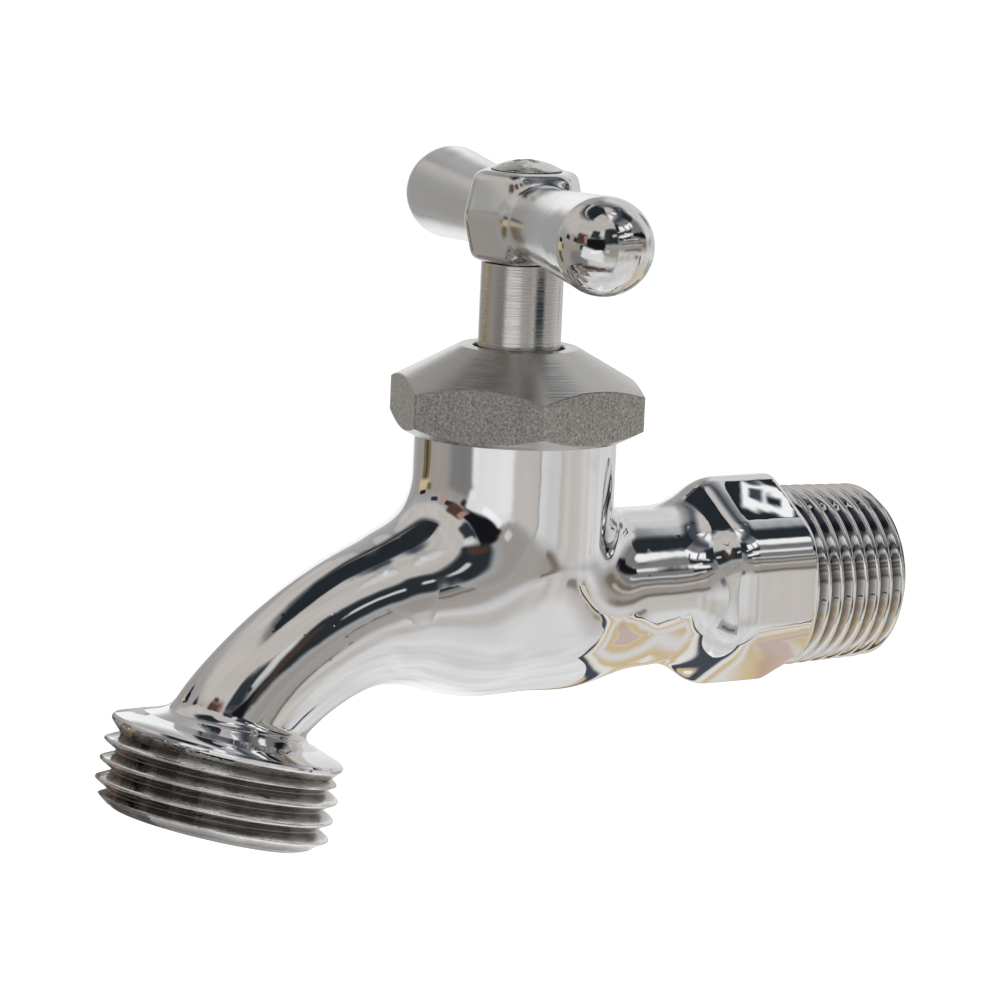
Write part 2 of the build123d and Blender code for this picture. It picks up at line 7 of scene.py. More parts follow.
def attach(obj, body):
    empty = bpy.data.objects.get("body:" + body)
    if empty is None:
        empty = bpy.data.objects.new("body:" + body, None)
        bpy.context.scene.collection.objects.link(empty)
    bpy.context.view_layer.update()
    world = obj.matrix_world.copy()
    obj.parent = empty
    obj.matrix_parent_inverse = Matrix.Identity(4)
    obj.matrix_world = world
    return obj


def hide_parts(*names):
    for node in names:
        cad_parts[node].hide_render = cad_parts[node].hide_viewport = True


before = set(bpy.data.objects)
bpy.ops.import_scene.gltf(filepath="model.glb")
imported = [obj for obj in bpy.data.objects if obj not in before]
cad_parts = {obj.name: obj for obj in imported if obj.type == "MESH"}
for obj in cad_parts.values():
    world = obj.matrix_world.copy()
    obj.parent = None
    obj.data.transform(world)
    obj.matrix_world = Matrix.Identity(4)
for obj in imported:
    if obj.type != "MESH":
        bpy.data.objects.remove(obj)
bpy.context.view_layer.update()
MM = 0.001

# ---------------------------------------------------------------------------
# lengths in millimetres; v = y + 50 is the distance from the stem axis towards the wall
# ---------------------------------------------------------------------------
STEM_Y = -50.0
TILT = math.radians(13.26)
HO = np.array([0.0, -37.67, -20.96])                       # x, v, z of the hose thread's reference point
HD = np.array([0.0, -math.sin(TILT), -math.cos(TILT)])     # along the outlet
HX = np.array([1.0, 0.0, 0.0])
HY = np.cross(HD, HX)
BAR = math.radians(-13.35)
BAR_Z = 43.56


# ---------------------------------------------------------------------------
# implicit surfaces
# ---------------------------------------------------------------------------
def smin(a, b, k):
    h = np.clip(0.5 + 0.5 * (b - a) / k, 0.0, 1.0)
    return b * (1 - h) + a * h - k * h * (1 - h)


def smax(a, b, k):
    return -smin(-a, -b, k)


def surface_nets(f, lo, hi, h, chunk=300000):
    """Quads on the zero level of f over a box, cell size h."""
    lo = np.asarray(lo, float)
    n = np.ceil((np.asarray(hi, float) - lo) / h).astype(int) + 1
    xs = [lo[k] + h * np.arange(n[k]) for k in range(3)]
    vals = np.empty(n, np.float64)
    step = max(1, int(chunk / (n[1] * n[2])))
    for i in range(0, n[0], step):
        X, Y, Z = np.meshgrid(xs[0][i:i + step], xs[1], xs[2], indexing="ij")
        vals[i:i + step] = f(np.stack([X.ravel(), Y.ravel(), Z.ravel()], 1)).reshape(X.shape)
    s = vals < 0
    c = n - 1
    acc = np.zeros((*c, 3))
    cnt = np.zeros(c)
    for a in [(i, j, k) for i in (0, 1) for j in (0, 1) for k in (0, 1)]:
        for ax in range(3):
            if a[ax]:
                continue
            b = list(a)
            b[ax] = 1
            va = vals[a[0]:a[0] + c[0], a[1]:a[1] + c[1], a[2]:a[2] + c[2]]
            vb = vals[b[0]:b[0] + c[0], b[1]:b[1] + c[1], b[2]:b[2] + c[2]]
            cross = (va < 0) != (vb < 0)
            t = np.where(cross, va / np.where(cross, va - vb, 1), 0)
            for k in range(3):
                acc[..., k] += (a[k] + (t if k == ax else 0)) * cross
            cnt += cross
    active = cnt > 0
    ids = np.full(c, -1, np.int64)
    ids[active] = np.arange(active.sum())
    V = lo + h * (np.argwhere(active) + acc[active] / cnt[active][:, None])
    quads = []
    for ax in range(3):
        u, v = (ax + 1) % 3, (ax + 2) % 3
        sl0 = [slice(1, c[k]) for k in range(3)]
        sl0[ax] = slice(0, c[ax])
        sl1 = list(sl0)
        sl1[ax] = slice(1, c[ax] + 1)
        s0, s1 = s[tuple(sl0)], s[tuple(sl1)]
        for flip, m in ((False, s0 & ~s1), (True, ~s0 & s1)):
            g = np.argwhere(m)
            off = np.ones(3, int)
            off[ax] = 0
            g = g + off
            q = []
            for du, dv in ((-1, -1), (0, -1), (0, 0), (-1, 0)):
                w = g.copy()
                w[:, u] += du
                w[:, v] += dv
                q.append(ids[w[:, 0], w[:, 1], w[:, 2]])
            q = np.stack(q, 1)
            quads.append(q[:, ::-1] if flip else q)
    Q = np.concatenate(quads)
    return V, Q[(Q >= 0).all(1)]


def grad(f, V, e=0.01):
    g = np.empty_like(V)
    for k in range(3):
        d = np.zeros(3)
        d[k] = e
        g[:, k] = (f(V + d) - f(V - d)) / (2 * e)
    return g


def settle(f, V, Q, rounds=3, relax=0.4, cap=0.25):
    """Even the quads out along the surface, and press their corners on to the zero level."""
    n = len(V)
    e = np.concatenate([Q[:, [0, 1]], Q[:, [1, 2]], Q[:, [2, 3]], Q[:, [3, 0]]])
    e = np.unique(np.sort(e, 1), axis=0)
    deg = np.bincount(e.ravel(), minlength=n)[:, None]
    for _ in range(rounds):
        g = grad(f, V)
        nn = g / np.maximum(np.linalg.norm(g, axis=1, keepdims=True), 1e-9)
        avg = np.zeros_like(V)
        for k in range(3):
            avg[:, k] = np.bincount(e[:, 0], V[e[:, 1], k], n) + np.bincount(e[:, 1], V[e[:, 0], k], n)
        d = avg / np.maximum(deg, 1) - V
        d -= nn * (d * nn).sum(1, keepdims=True)
        V = V + relax * d
        for _ in range(2):
            g = grad(f, V)
            step = f(V)[:, None] * g / np.maximum((g * g).sum(1, keepdims=True), 0.2)
            ln = np.linalg.norm(step, axis=1, keepdims=True)
            V = V - step * np.minimum(1, cap / np.maximum(ln, 1e-9))
    g = grad(f, V)
    return V, g / np.maximum(np.linalg.norm(g, axis=1, keepdims=True), 1e-9)


def split(V, Q):
    """Each quad into four."""
    e = np.concatenate([Q[:, [0, 1]], Q[:, [1, 2]], Q[:, [2, 3]], Q[:, [3, 0]]])
    u, inv = np.unique(np.sort(e, 1), axis=0, return_inverse=True)
    m = len(Q)
    mid = len(V) + inv.ravel().reshape(4, m).T
    cen = len(V) + len(u) + np.arange(m)
    V2 = np.concatenate([V, V[u].mean(1), V[Q].mean(1)])
    return V2, np.concatenate([np.stack([Q[:, k], mid[:, k], cen, mid[:, (k + 3) % 4]], 1) for k in range(4)])


def make_object(name, V, faces, normals=None, smooth=True):
    """V in millimetres with v = y + 50."""
    me = bpy.data.meshes.new(name)
    P = np.array(V, float)
    P[:, 1] += STEM_Y
    me.from_pydata((P * MM).tolist(), [], faces if isinstance(faces, list) else faces.tolist())
    me.update()
    me.polygons.foreach_set("use_smooth", [smooth] * len(me.polygons))
    if normals is not None:
        me.normals_split_custom_set_from_vertices(normals.tolist())
    ob = bpy.data.objects.new(name, me)
    bpy.context.scene.collection.objects.link(ob)
    return ob


def sdf_object(name, f, lo, hi, h, levels=1, rounds=3):
    V, Q = surface_nets(f, lo, hi, h)
    V, N = settle(f, V, Q, rounds)
    for _ in range(levels):
        V, Q = split(V, Q)
        V, N = settle(f, V, Q, 1, relax=0.3)
    print(name, "quads", len(Q), "residual", float(np.abs(f(V)).max()))
    return make_object(name, V, Q, N)


# ---------------------------------------------------------------------------
# body casting
# ---------------------------------------------------------------------------
def bspline(ctrl, n):
    """Clamped cubic B-spline with evenly spaced knots, sampled n times."""
    ctrl = np.array(ctrl, float)
    m = len(ctrl)
    kn = np.concatenate([[0] * 3, np.linspace(0, 1, m - 2), [1] * 3])
    t = np.linspace(0, 1 - 1e-9, n)
    B = [((kn[i] <= t) & (t < kn[i + 1])).astype(float) for i in range(len(kn) - 1)]
    for p in (1, 2, 3):
        nb = []
        for i in range(len(kn) - 1 - p):
            a = (t - kn[i]) / (kn[i + p] - kn[i]) * B[i] if kn[i + p] > kn[i] else 0 * t
            b = (kn[i + p + 1] - t) / (kn[i + p + 1] - kn[i + 1]) * B[i + 1] if kn[i + p + 1] > kn[i + 1] else 0 * t
            nb.append(a + b)
        B = nb
    return np.stack(B, 1) @ ctrl


CANAL = bspline([(24, 0, 9.1), (13.428, 0.119, 9.441), (1.886, -1.637, 10.194), (-11.155, 0.712, 10.224),
                 (-14.554, -0.425, 8.804), (-23.310, -1.413, 7.167), (-35.295, -10.880, 6.756),
                 (-36.294, -15.120, 7.661)], 130)
STEP = CANAL[0] - CANAL[1]
CANAL = np.concatenate([[CANAL[0] + STEP * n for n in range(12, 0, -1)], CANAL])
WAY = np.array([(-4.0, 6.2, 3.1), (-9.0, 3.6, 4.8), (-14.0, 0.6, 5.4), (-19.24, -1.9, 5.4), (-24.85, -4.1, 5.3),
                (-31.87, -8.9, 5.2), (-36.0, -14.4, 5.2), (-36.6, -16.5, 5.2), (-38.0, -22.3, 5.2)])


def chain(P, S):
    """Swept ball: distance to a chain of tapered segments in the plane x = 0."""
    best = None
    x2 = P[:, 0] ** 2
    for a, b in zip(S[:-1], S[1:]):
        du, dz, dr = b - a
        l2 = du * du + dz * dz
        t = ((P[:, 1] - a[0]) * du + (P[:, 2] - a[1]) * dz) / l2
        t = np.clip(t, 0, 1)
        d = np.sqrt(x2 + (P[:, 1] - a[0] - t * du) ** 2 + (P[:, 2] - a[1] - t * dz) ** 2) - (a[2] + t * dr)
        best = d if best is None else np.minimum(best, d)
    return best


def canal(P, S):
    """Swept ball along a smooth curve: least distance, refined by a parabola over three neighbours."""
    x2 = P[:, 0] ** 2
    best = p1 = p2 = None
    for a in S:
        g = np.sqrt(x2 + (P[:, 1] - a[0]) ** 2 + (P[:, 2] - a[1]) ** 2) - a[2]
        if p1 is None:
            best = g
        elif p2 is not None:
            den = g + p2 - 2 * p1
            ok = (p1 <= p2) & (p1 <= g) & (den > 1e-9)
            c = p1 - (g - p2) ** 2 / (8 * np.where(ok, den, 1.0))
            best = np.where(ok & (c < best), c, best)
        p2, p1 = p1, g
    return np.minimum(best, p1)


def body_sdf(P):
    x, v, z = P[:, 0], P[:, 1], P[:, 2]
    # neck with its rounded belly
    rho = np.hypot(x, v)
    a, b = rho - 3.65, -2.93 - z
    neck = np.hypot(np.maximum(a, 0), np.maximum(b, 0)) + np.minimum(np.maximum(a, b), 0) - 8.0
    neck = smax(neck, z - 19.3, 0.1)
    plug = np.maximum(rho - 10.15, np.abs(z - 15.0) - 4.6)
    # barrel and spout
    way = canal(P, CANAL)
    q = np.clip((z + 4.0) / 9.0, 0, 1)
    q = q * q * (3 - 2 * q)
    k = 6.0 * (1 - q) + (4.2 - 1.2 * np.tanh(v / 4.0)) * q
    e = 1.6 * np.exp(-(v / 8.0) ** 2) * (1 - q)
    d = smin(neck + e, way + e, k)
    # wrench collar: rounded hexagon, coned with flat facets towards the barrel
    A = 11.15
    ax, az = np.abs(x), np.abs(z)
    f0, f1, f2 = ax, 0.5 * ax + 0.8660254 * az, -0.5 * ax + 0.8660254 * az
    hexd = smax(smax(f0, f1, 3.6), f2, 1.5) - A
    s = 0.60
    cone = (smax(smax(f0, f1, 3.2), f2, 2.0) - (A - s * (26.0 - v))) / math.hypot(1, s)
    col = smax(smax(hexd, cone, 1.0), v - 36.25, 1.0)
    col = np.maximum(col, 20.0 - v)
    d = smin(d, col, 1.6)
    # flange above the hose thread
    Q = P - HO
    w = Q @ HD
    r = np.sqrt(np.maximum((Q * Q).sum(1) - w * w, 0))
    fl = smax(-0.937 * (w + 7.15) + 0.349 * (r - 12.95), r - 12.3, 0.6)
    d = smin(d, fl, 1.0)
    d = smax(d, w + 7.1, 0.1)
    d = np.minimum(d, plug)
    # bores
    d = np.maximum(d, -np.maximum(np.hypot(x, z) - 6.95, 29.0 - v))
    d = np.maximum(d, -np.maximum(np.hypot(x, z + 1.6) - 5.0, np.maximum(16.0 - v, v - 30)))
    d = np.maximum(d, -np.maximum(chain(P, WAY), v + 6.0))
    return d


body = sdf_object("body_casting", body_sdf, (-13.6, -53.5, -32.5), (13.6, 38.4, 21.5), 0.74)


# ---------------------------------------------------------------------------
# lathes with threads
# ---------------------------------------------------------------------------
def rounded(profile, radii, n=5):
    """2D polyline with its inner corners rounded."""
    P = [np.array(p, float) for p in profile]
    out = [P[0]]
    for i in range(1, len(P) - 1):
        r = radii[i] if isinstance(radii, (list, tuple)) else radii
        a, b, c = P[i - 1], P[i], P[i + 1]
        u, w = a - b, c - b
        lu, lw = np.linalg.norm(u), np.linalg.norm(w)
        u, w = u / lu, w / lw
        ang = math.acos(max(-1, min(1, float(u @ w))))
        if r <= 0 or ang > 3.1:
            out.append(b)
            continue
        t = min(r / math.tan(ang / 2), 0.45 * lu, 0.45 * lw)
        r = t * math.tan(ang / 2)
        cen = b + (u + w) / np.linalg.norm(u + w) * (r / math.sin(ang / 2))
        p0, p1 = b + u * t - cen, b + w * t - cen
        a0 = math.atan2(p0[1], p0[0])
        da = (math.atan2(p1[1], p1[0]) - a0 + math.pi) % (2 * math.pi) - math.pi
        for k in range(n + 1):
            out.append(cen + r * np.array([math.cos(a0 + da * k / n), math.sin(a0 + da * k / n)]))
    out.append(P[-1])
    return np.array(out)


def weighted_normals(V, faces):
    """Vertex normals weighted by face area, so that big faces stay flat next to small rounded edges."""
    N = np.zeros_like(V)
    tris = []
    for f in faces:
        for k in range(1, len(f) - 1):
            tris.append((f[0], f[k], f[k + 1]))
    T = np.array(tris)
    n = np.cross(V[T[:, 1]] - V[T[:, 0]], V[T[:, 2]] - V[T[:, 0]])
    for k in range(3):
        for c in range(3):
            N[:, c] += np.bincount(T[:, k], n[:, c], len(V))
    return N / np.maximum(np.linalg.norm(N, axis=1, keepdims=True), 1e-12)


def tidy(V, faces):
    """Merges points that coincide and drops collapsed faces."""
    key = np.round(V * 1e5).astype(np.int64)
    _, first, inv = np.unique(key, axis=0, return_index=True, return_inverse=True)
    inv = inv.ravel()
    out = []
    for f in faces:
        g = []
        for i in f:
            j = int(inv[i])
            if not g or g[-1] != j:
                g.append(j)
        if len(g) > 1 and g[0] == g[-1]:
            g.pop()
        if len(g) >= 3 and len(set(g)) == len(g):
            out.append(g)
    return V[first], out


def lathe(name, before, after, frame_axes, n=160, thread=None, closed=True):
    """Ring of the profile before + thread + after about an axis. Profile points are (w, r)."""
    O, D, X, Y = frame_axes
    th = 2 * math.pi * np.arange(n) / n
    rim = np.cos(th)[:, None] * X + np.sin(th)[:, None] * Y
    V, F = [], []
    count = 0

    def ring(w, r):
        nonlocal count
        V.append(O + np.outer(np.broadcast_to(w, n), D) + rim * np.broadcast_to(r, n)[:, None])
        count += n
        return np.arange(count - n, count)

    def join(a, b):
        for i in range(n):
            k = (i + 1) % n
            F.append([int(a[i]), int(a[k]), int(b[k]), int(b[i])])

    rings = [ring(w, r) for w, r in before]
    for a, b in zip(rings[:-1], rings[1:]):
        join(a, b)
    last = rings[-1]
    if thread:
        P, w0, w1, R, per = thread
        s = np.arange(w0 - P, w1 + P / per * 0.999, P / per)
        s[-1] = max(s[-1], w1)
        ids = []
        for sj in s:
            w = np.clip(sj + P * th / (2 * math.pi), w0, w1)
            ids.append(ring(w, R(w, th)))
        M = len(s) - 1
        for j in range(M):
            for i in range(n):
                if i < n - 1:
                    b, c = ids[j][i + 1], ids[j + 1][i + 1]
                else:
                    b, c = ids[min(j + per, M)][0], ids[min(j + 1 + per, M)][0]
                F.append([int(ids[j][i]), int(b), int(c), int(ids[j + 1][i])])
        join(last, ids[0])
        last = ids[-1]
    rings2 = [ring(w, r) for w, r in after]
    if rings2:
        join(last, rings2[0])
        for a, b in zip(rings2[:-1], rings2[1:]):
            join(a, b)
        last = rings2[-1]
    if closed:
        join(last, rings[0])
    V = np.concatenate(V)
    V, F = tidy(V, F)
    hand = np.cross(X, Y) @ D
    if hand > 0:
        pass
    else:
        F = [f[::-1] for f in F]
    # outward if the closed volume is positive
    vol = 0.0
    for f in F:
        for k in range(1, len(f) - 1):
            vol += V[f[0]] @ np.cross(V[f[k]], V[f[k + 1]])
    if vol < 0:
        F = [f[::-1] for f in F]
    return make_object(name, V, F, weighted_normals(V, F))


def v_thread(pitch, w_ref, r_root, r_crest, root_w, crest_w, limit, taper=0.0, w_end=0.0):
    """Radius of a thread: crest centred on w_ref at angle 0, trimmed to limit(w)."""
    def R(w, th):
        w = np.asarray(w)
        p = (w - w_ref) / pitch - th / (2 * math.pi)
        off = np.abs(p - np.round(p)) * pitch                # distance along the axis from the crest's middle
        a, b = crest_w / 2, (pitch - root_w) / 2
        q = (b - off) / (b - a)
        q = smax(smin(q, 1.0, 0.10), 0.0, 0.10)
        r = r_root + (r_crest - r_root) * q + taper * (w_end - w)
        return np.minimum(r, limit(w))
    return R


# hose end: flange rim, thread, end ring, bore
hose_axes = (HO, HD, HX, HY)
lim_h = lambda w: np.minimum(12.1 + (w + 5.6) * 1.3, 13.9 - np.maximum(0, w - 1.05) * 1.35)
hose_thread = (2.2087, -5.35, 2.62, v_thread(2.2087, -0.55, 11.92, 13.48, 0.28, 0.26, lim_h), 18)
b1 = rounded([(-7.1, 9.0), (-8.31, 10.0), (-7.21, 12.95), (-6.92, 13.2), (-6.62, 13.2), (-6.42, 13.05), (-5.36, 12.0)],
             [0, 0, 0.25, 0.1, 0.1, 0.15, 0], 4)
a1 = rounded([(2.62, 11.62), (3.0, 11.05), (3.0, 8.6), (-5.0, 8.6), (-6.55, 6.4), (-6.55, 5.6), (-6.3, 5.6), (-6.3, 9.0)],
             [0, 0.35, 0.2, 0.2, 0.1, 0, 0, 0], 4)
hose_end = lathe("hose_end", b1, a1, hose_axes, 180, hose_thread)

# inlet end
inlet_axes = (np.array([0.0, 0, 0]), np.array([0.0, 1, 0]), np.array([0.0, 0, 1.0]), np.array([1.0, 0, 0]))
lim_i = lambda w: np.minimum(60.0, 10.95 - np.maximum(0, w - 48.65) * 1.15)
inlet_thread = (1.8143, 35.6, 49.72, v_thread(1.8143, 34.0, 9.06, 10.36, 0.22, 0.30, lim_i, 1 / 32, 50.0), 16)
b2 = [(34.0, 7.6), (34.0, 9.0), (35.5, 9.2)]
a2 = rounded([(49.74, 9.62), (50.0, 9.35), (50.0, 6.9), (30.0, 6.9), (30.0, 7.4)], [0, 0.3, 0.2, 0, 0], 4)
inlet_end = lathe("inlet_end", b2, a2, inlet_axes, 180, inlet_thread)
for o in (body, hose_end, inlet_end):
    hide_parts("body")
    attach(o, "tap_body")


# ---------------------------------------------------------------------------
# cap nut: hexagon between two cones
# ---------------------------------------------------------------------------
def hexagon_plan(R, turn, rc, flat=14, arc=6):
    """Points round a hexagon with rounded corners: (radius, angle)."""
    pts = []
    for k in range(6):
        a = turn + k * math.pi / 3
        c = np.array([math.cos(a), math.sin(a)]) * (R - rc / math.cos(math.pi / 6))
        for j in range(arc + 1):
            t = a - math.pi / 6 + math.pi / 3 * j / arc
            pts.append(c + rc * np.array([math.cos(t), math.sin(t)]))
        a2 = a + math.pi / 3
        c2 = np.array([math.cos(a2), math.sin(a2)]) * (R - rc / math.cos(math.pi / 6))
        t = a + math.pi / 6
        p, q = c + rc * np.array([math.cos(t), math.sin(t)]), c2 + rc * np.array([math.cos(t), math.sin(t)])
        for j in range(1, flat):
            f = 0.5 - 0.5 * math.cos(math.pi * j / flat)
            pts.append(p + (q - p) * f)
    pts = np.array(pts)
    return np.hypot(pts[:, 0], pts[:, 1]), np.arctan2(pts[:, 1], pts[:, 0])


def cap_nut_mesh():
    rr, th = hexagon_plan(15.27 + 0.05, math.radians(-20.4), 0.45)
    cone, under = 4.65 / 8.41, 1.51 / 2.72
    rings = []
    for r, t in zip(rr, th):
        prof = [(11.95, 19.6), (11.71, 18.85), (12.55, 18.85), (r, 20.36 - under * (15.27 - r)),
                (r, 24.29 + cone * (15.27 - r)), (6.86, 28.94), (5.26, 28.94), (5.26, 27.2), (7.6, 26.4), (8.4, 25.0),
                (10.3, 24.6), (10.3, 20.2)]
        P = rounded(prof, [0, 0, 0.2, 0.22, 0.22, 0.25, 0.2, 0, 0, 0, 0, 0], 4)
        rings.append(np.stack([P[:, 0] * math.cos(t), P[:, 0] * math.sin(t), P[:, 1]], 1))
    m = len(rings[0])
    V = np.concatenate(rings)
    n = len(rings)
    F = [[i * m + j, ((i + 1) % n) * m + j, ((i + 1) % n) * m + (j + 1) % m, i * m + (j + 1) % m]
         for i in range(n) for j in range(m)]
    V, F = tidy(V, F)
    return make_object("cap_nut_shell", V, F, weighted_normals(V, F))


nut = cap_nut_mesh()
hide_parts("cap_nut")
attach(nut, "tap_body")

# ---------------------------------------------------------------------------
# stem: turned rod with its lifting thread, and the square for the handle
# ---------------------------------------------------------------------------
stem_axes = (np.array([0.0, 0, 0]), np.array([0.0, 0, 1]), np.array([1.0, 0, 0]), np.array([0.0, 1, 0]))
lim_s = lambda w: np.minimum(5.9 + (w - 9.5) * 1.5, 5.9 + (16.9 - w) * 1.5)
stem_thread = (2.5, 9.7, 16.7, v_thread(2.5, 9.5, 6.5, 7.55, 1.15, 0.75, lim_s), 16)
b3 = rounded([(12.3, 0.01), (12.3, 3.45), (10.4, 3.45), (10.4, 2.7), (8.75, 2.7), (8.35, 3.1), (8.35, 5.6), (9.5, 5.6), (9.65, 5.9)],
             [0, 0.2, 0.1, 0.1, 0, 0, 0.3, 0, 0], 4)
a3 = rounded([(16.7, 5.9), (16.85, 5.4), (17.1, 4.76), (38.45, 4.76), (38.6, 4.6), (38.6, 0.01)],
             [0, 0.04, 0.05, 0.12, 0, 0], 4)
stem = lathe("stem_rod", b3, a3, stem_axes, 128, stem_thread, closed=False)


def square_end():
    """Square with its corners turned off, from the shoulder up into the hub."""
    th = np.linspace(0, 2 * math.pi, 96, endpoint=False)
    c = np.maximum(np.abs(np.cos(th)), np.abs(np.sin(th)))
    r = np.minimum(3.2 / c, 4.2)
    V, F = [], []
    for z, k in ((38.3, 1.0), (46.2, 1.0), (46.5, 0.94)):
        V.append(np.stack([k * r * np.cos(th + BAR), k * r * np.sin(th + BAR), np.full(96, z)], 1))
    V.append(np.array([[0, 0, 38.3], [0, 0, 46.5]]))
    for j in range(2):
        for i in range(96):
            F.append([j * 96 + i, j * 96 + (i + 1) % 96, (j + 1) * 96 + (i + 1) % 96, (j + 1) * 96 + i])
    for i in range(96):
        F.append([288, (i + 1) % 96, i])
        F.append([289, 192 + i, 192 + (i + 1) % 96])
    V = np.concatenate(V)
    return make_object("stem_square", V, F, weighted_normals(V, F))


sq = square_end()
for o in (stem, sq):
    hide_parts("stem")
    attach(o, "spindle")


# ---------------------------------------------------------------------------
# T-handle
# ---------------------------------------------------------------------------
def handle_sdf(P):
    s = P[:, 0] * math.cos(BAR) + P[:, 1] * math.sin(BAR)
    t = -P[:, 0] * math.sin(BAR) + P[:, 1] * math.cos(BAR)
    z = P[:, 2] - BAR_Z
    # arms: round cones from the hub to the balls
    q, h = np.hypot(t, z), 22.4
    y = np.abs(s) - 4.0
    r1, r2 = 3.969, 5.5
    bb = (r1 - r2) / h
    aa = math.sqrt(1 - bb * bb)
    k = -bb * q + aa * y
    arm = np.where(k < 0, np.hypot(q, y) - r1, np.where(k > aa * h, np.hypot(q, y - h) - r2, aa * q + bb * y - r1))
    arm = np.where((np.abs(s) < 4.0), q - 3.97, arm)
    # hub: hexagon with draft both ways from the parting plane
    s1, s2, m = np.abs(s), np.abs(0.5 * s + 0.8660254 * t), np.abs(-0.5 * s + 0.8660254 * t)
    side = smax(smax(s1, s2, 1.0), m, 1.0)
    up = (side - (6.495 - 0.191 * z)) * 0.982
    dn = (side - (6.495 + 0.2095 * z)) * 0.979
    hub = smax(up, dn, 0.4)
    hub = smax(smax(hub, z - 5.44, 1.3), -4.96 - z, 1.3)
    return smin(hub, arm, 1.1)


handle = sdf_object("tee_handle_casting", handle_sdf, (-33, -14, 37), (33, 14, 50.5), 0.42)
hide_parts("tee_handle")
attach(handle, "spindle")


def screw_sdf(P):
    x = P[:, 0] * math.cos(BAR + 0.35) + P[:, 1] * math.sin(BAR + 0.35)
    y = -P[:, 0] * math.sin(BAR + 0.35) + P[:, 1] * math.cos(BAR + 0.35)
    z = P[:, 2] - 49.0
    r = np.hypot(x, y)
    dome = np.sqrt(r * r + (z + 6.9) ** 2) - 8.15          # apex at 1.25
    head = smax(smax(r - 4.2, dome, 0.35), -z, 0.1)
    head = np.minimum(head, np.maximum(r - 1.95, np.maximum(z, -9.6 - z)))
    w = 0.30 + 0.22 * np.maximum(z - 0.3, 0)
    l = 0.75 + 1.35 * np.clip(z - 0.25, 0, 2)
    slot = np.minimum(smax(np.abs(x) - w, np.abs(y) - l, 0.15), smax(np.abs(y) - w, np.abs(x) - l, 0.15))
    return smax(head, -np.maximum(slot, 0.28 - z), 0.12)


screw = sdf_object("handle_screw_head", screw_sdf, (-4.6, -4.6, 39.0), (4.6, 4.6, 50.6), 0.2)
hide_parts("handle_screw")
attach(screw, "spindle")


# ---------------------------------------------------------------------------
# materials
# ---------------------------------------------------------------------------
def new_material(name, color, rough, metallic=1.0, aniso=0.0):
    m = bpy.data.materials.new(name)
    m.use_nodes = True
    nt = m.node_tree
    b = nt.nodes["Principled BSDF"]
    b.inputs["Base Color"].default_value = (*color, 1)
    b.inputs["Metallic"].default_value = metallic
    b.inputs["Roughness"].default_value = rough
    b.inputs["Anisotropic"].default_value = aniso
    return m, nt, b


def add(nt, kind, **values):
    n = nt.nodes.new(kind)
    for k, v in values.items():
        if k.startswith("in_"):
            n.inputs[int(k[3:]) if k[3:].isdigit() else k[3:].replace("_", " ")].default_value = v
        else:
            setattr(n, k, v)
    return n


def coords(nt, scale=(1, 1, 1), rot=(0, 0, 0), loc=(0, 0, 0)):
    tc = add(nt, "ShaderNodeTexCoord")
    mp = add(nt, "ShaderNodeMapping")
    mp.inputs["Scale"].default_value = scale
    mp.inputs["Rotation"].default_value = rot
    mp.inputs["Location"].default_value = loc
    nt.links.new(tc.outputs["Object"], mp.inputs["Vector"])
    return mp


def ramp(nt, src, stops):
    r = add(nt, "ShaderNodeValToRGB")
    e = r.color_ramp.elements
    while len(e) < len(stops):
        e.new(0.5)
    for el, (p, c) in zip(e, stops):
        el.position = p
        el.color = (c, c, c, 1) if isinstance(c, (int, float)) else (*c, 1)
    nt.links.new(src, r.inputs["Fac"])
    return r


def bump(nt, b, src, strength, dist):
    n = add(nt, "ShaderNodeBump")
    n.inputs["Strength"].default_value = strength
    n.inputs["Distance"].default_value = dist
    nt.links.new(src, n.inputs["Height"])
    if b.inputs["Normal"].is_linked:
        nt.links.new(b.inputs["Normal"].links[0].from_socket, n.inputs["Normal"])
    nt.links.new(n.outputs["Normal"], b.inputs["Normal"])
    return n


def chrome(name, color, rough, waviness=0.10, wave_scale=160.0):
    """Mirror plate: slow waviness left by polishing, faint haze and a few pits."""
    m, nt, b = new_material(name, color, rough)
    co = coords(nt)
    n1 = add(nt, "ShaderNodeTexNoise", in_Scale=wave_scale, in_Detail=2.0)
    nt.links.new(co.outputs["Vector"], n1.inputs["Vector"])
    bump(nt, b, n1.outputs["Fac"], waviness, 0.0006)
    n2 = add(nt, "ShaderNodeTexNoise", in_Scale=900.0, in_Detail=4.0)
    nt.links.new(co.outputs["Vector"], n2.inputs["Vector"])
    mr = add(nt, "ShaderNodeMapRange")
    mr.inputs["To Min"].default_value = rough * 0.5
    mr.inputs["To Max"].default_value = rough * 1.7
    nt.links.new(n2.outputs["Fac"], mr.inputs["Value"])
    nt.links.new(mr.outputs["Result"], b.inputs["Roughness"])
    return m


M_BODY = chrome("polished_chrome", (0.86, 0.86, 0.865), 0.022)
M_THREAD, nt, b = new_material("plated_thread", (0.78, 0.775, 0.765), 0.07)
co = coords(nt)
t1 = add(nt, "ShaderNodeTexNoise", in_Scale=900.0, in_Detail=3.0, in_Roughness=0.6)
nt.links.new(co.outputs["Vector"], t1.inputs["Vector"])
bump(nt, b, t1.outputs["Fac"], 0.30, 0.00022)
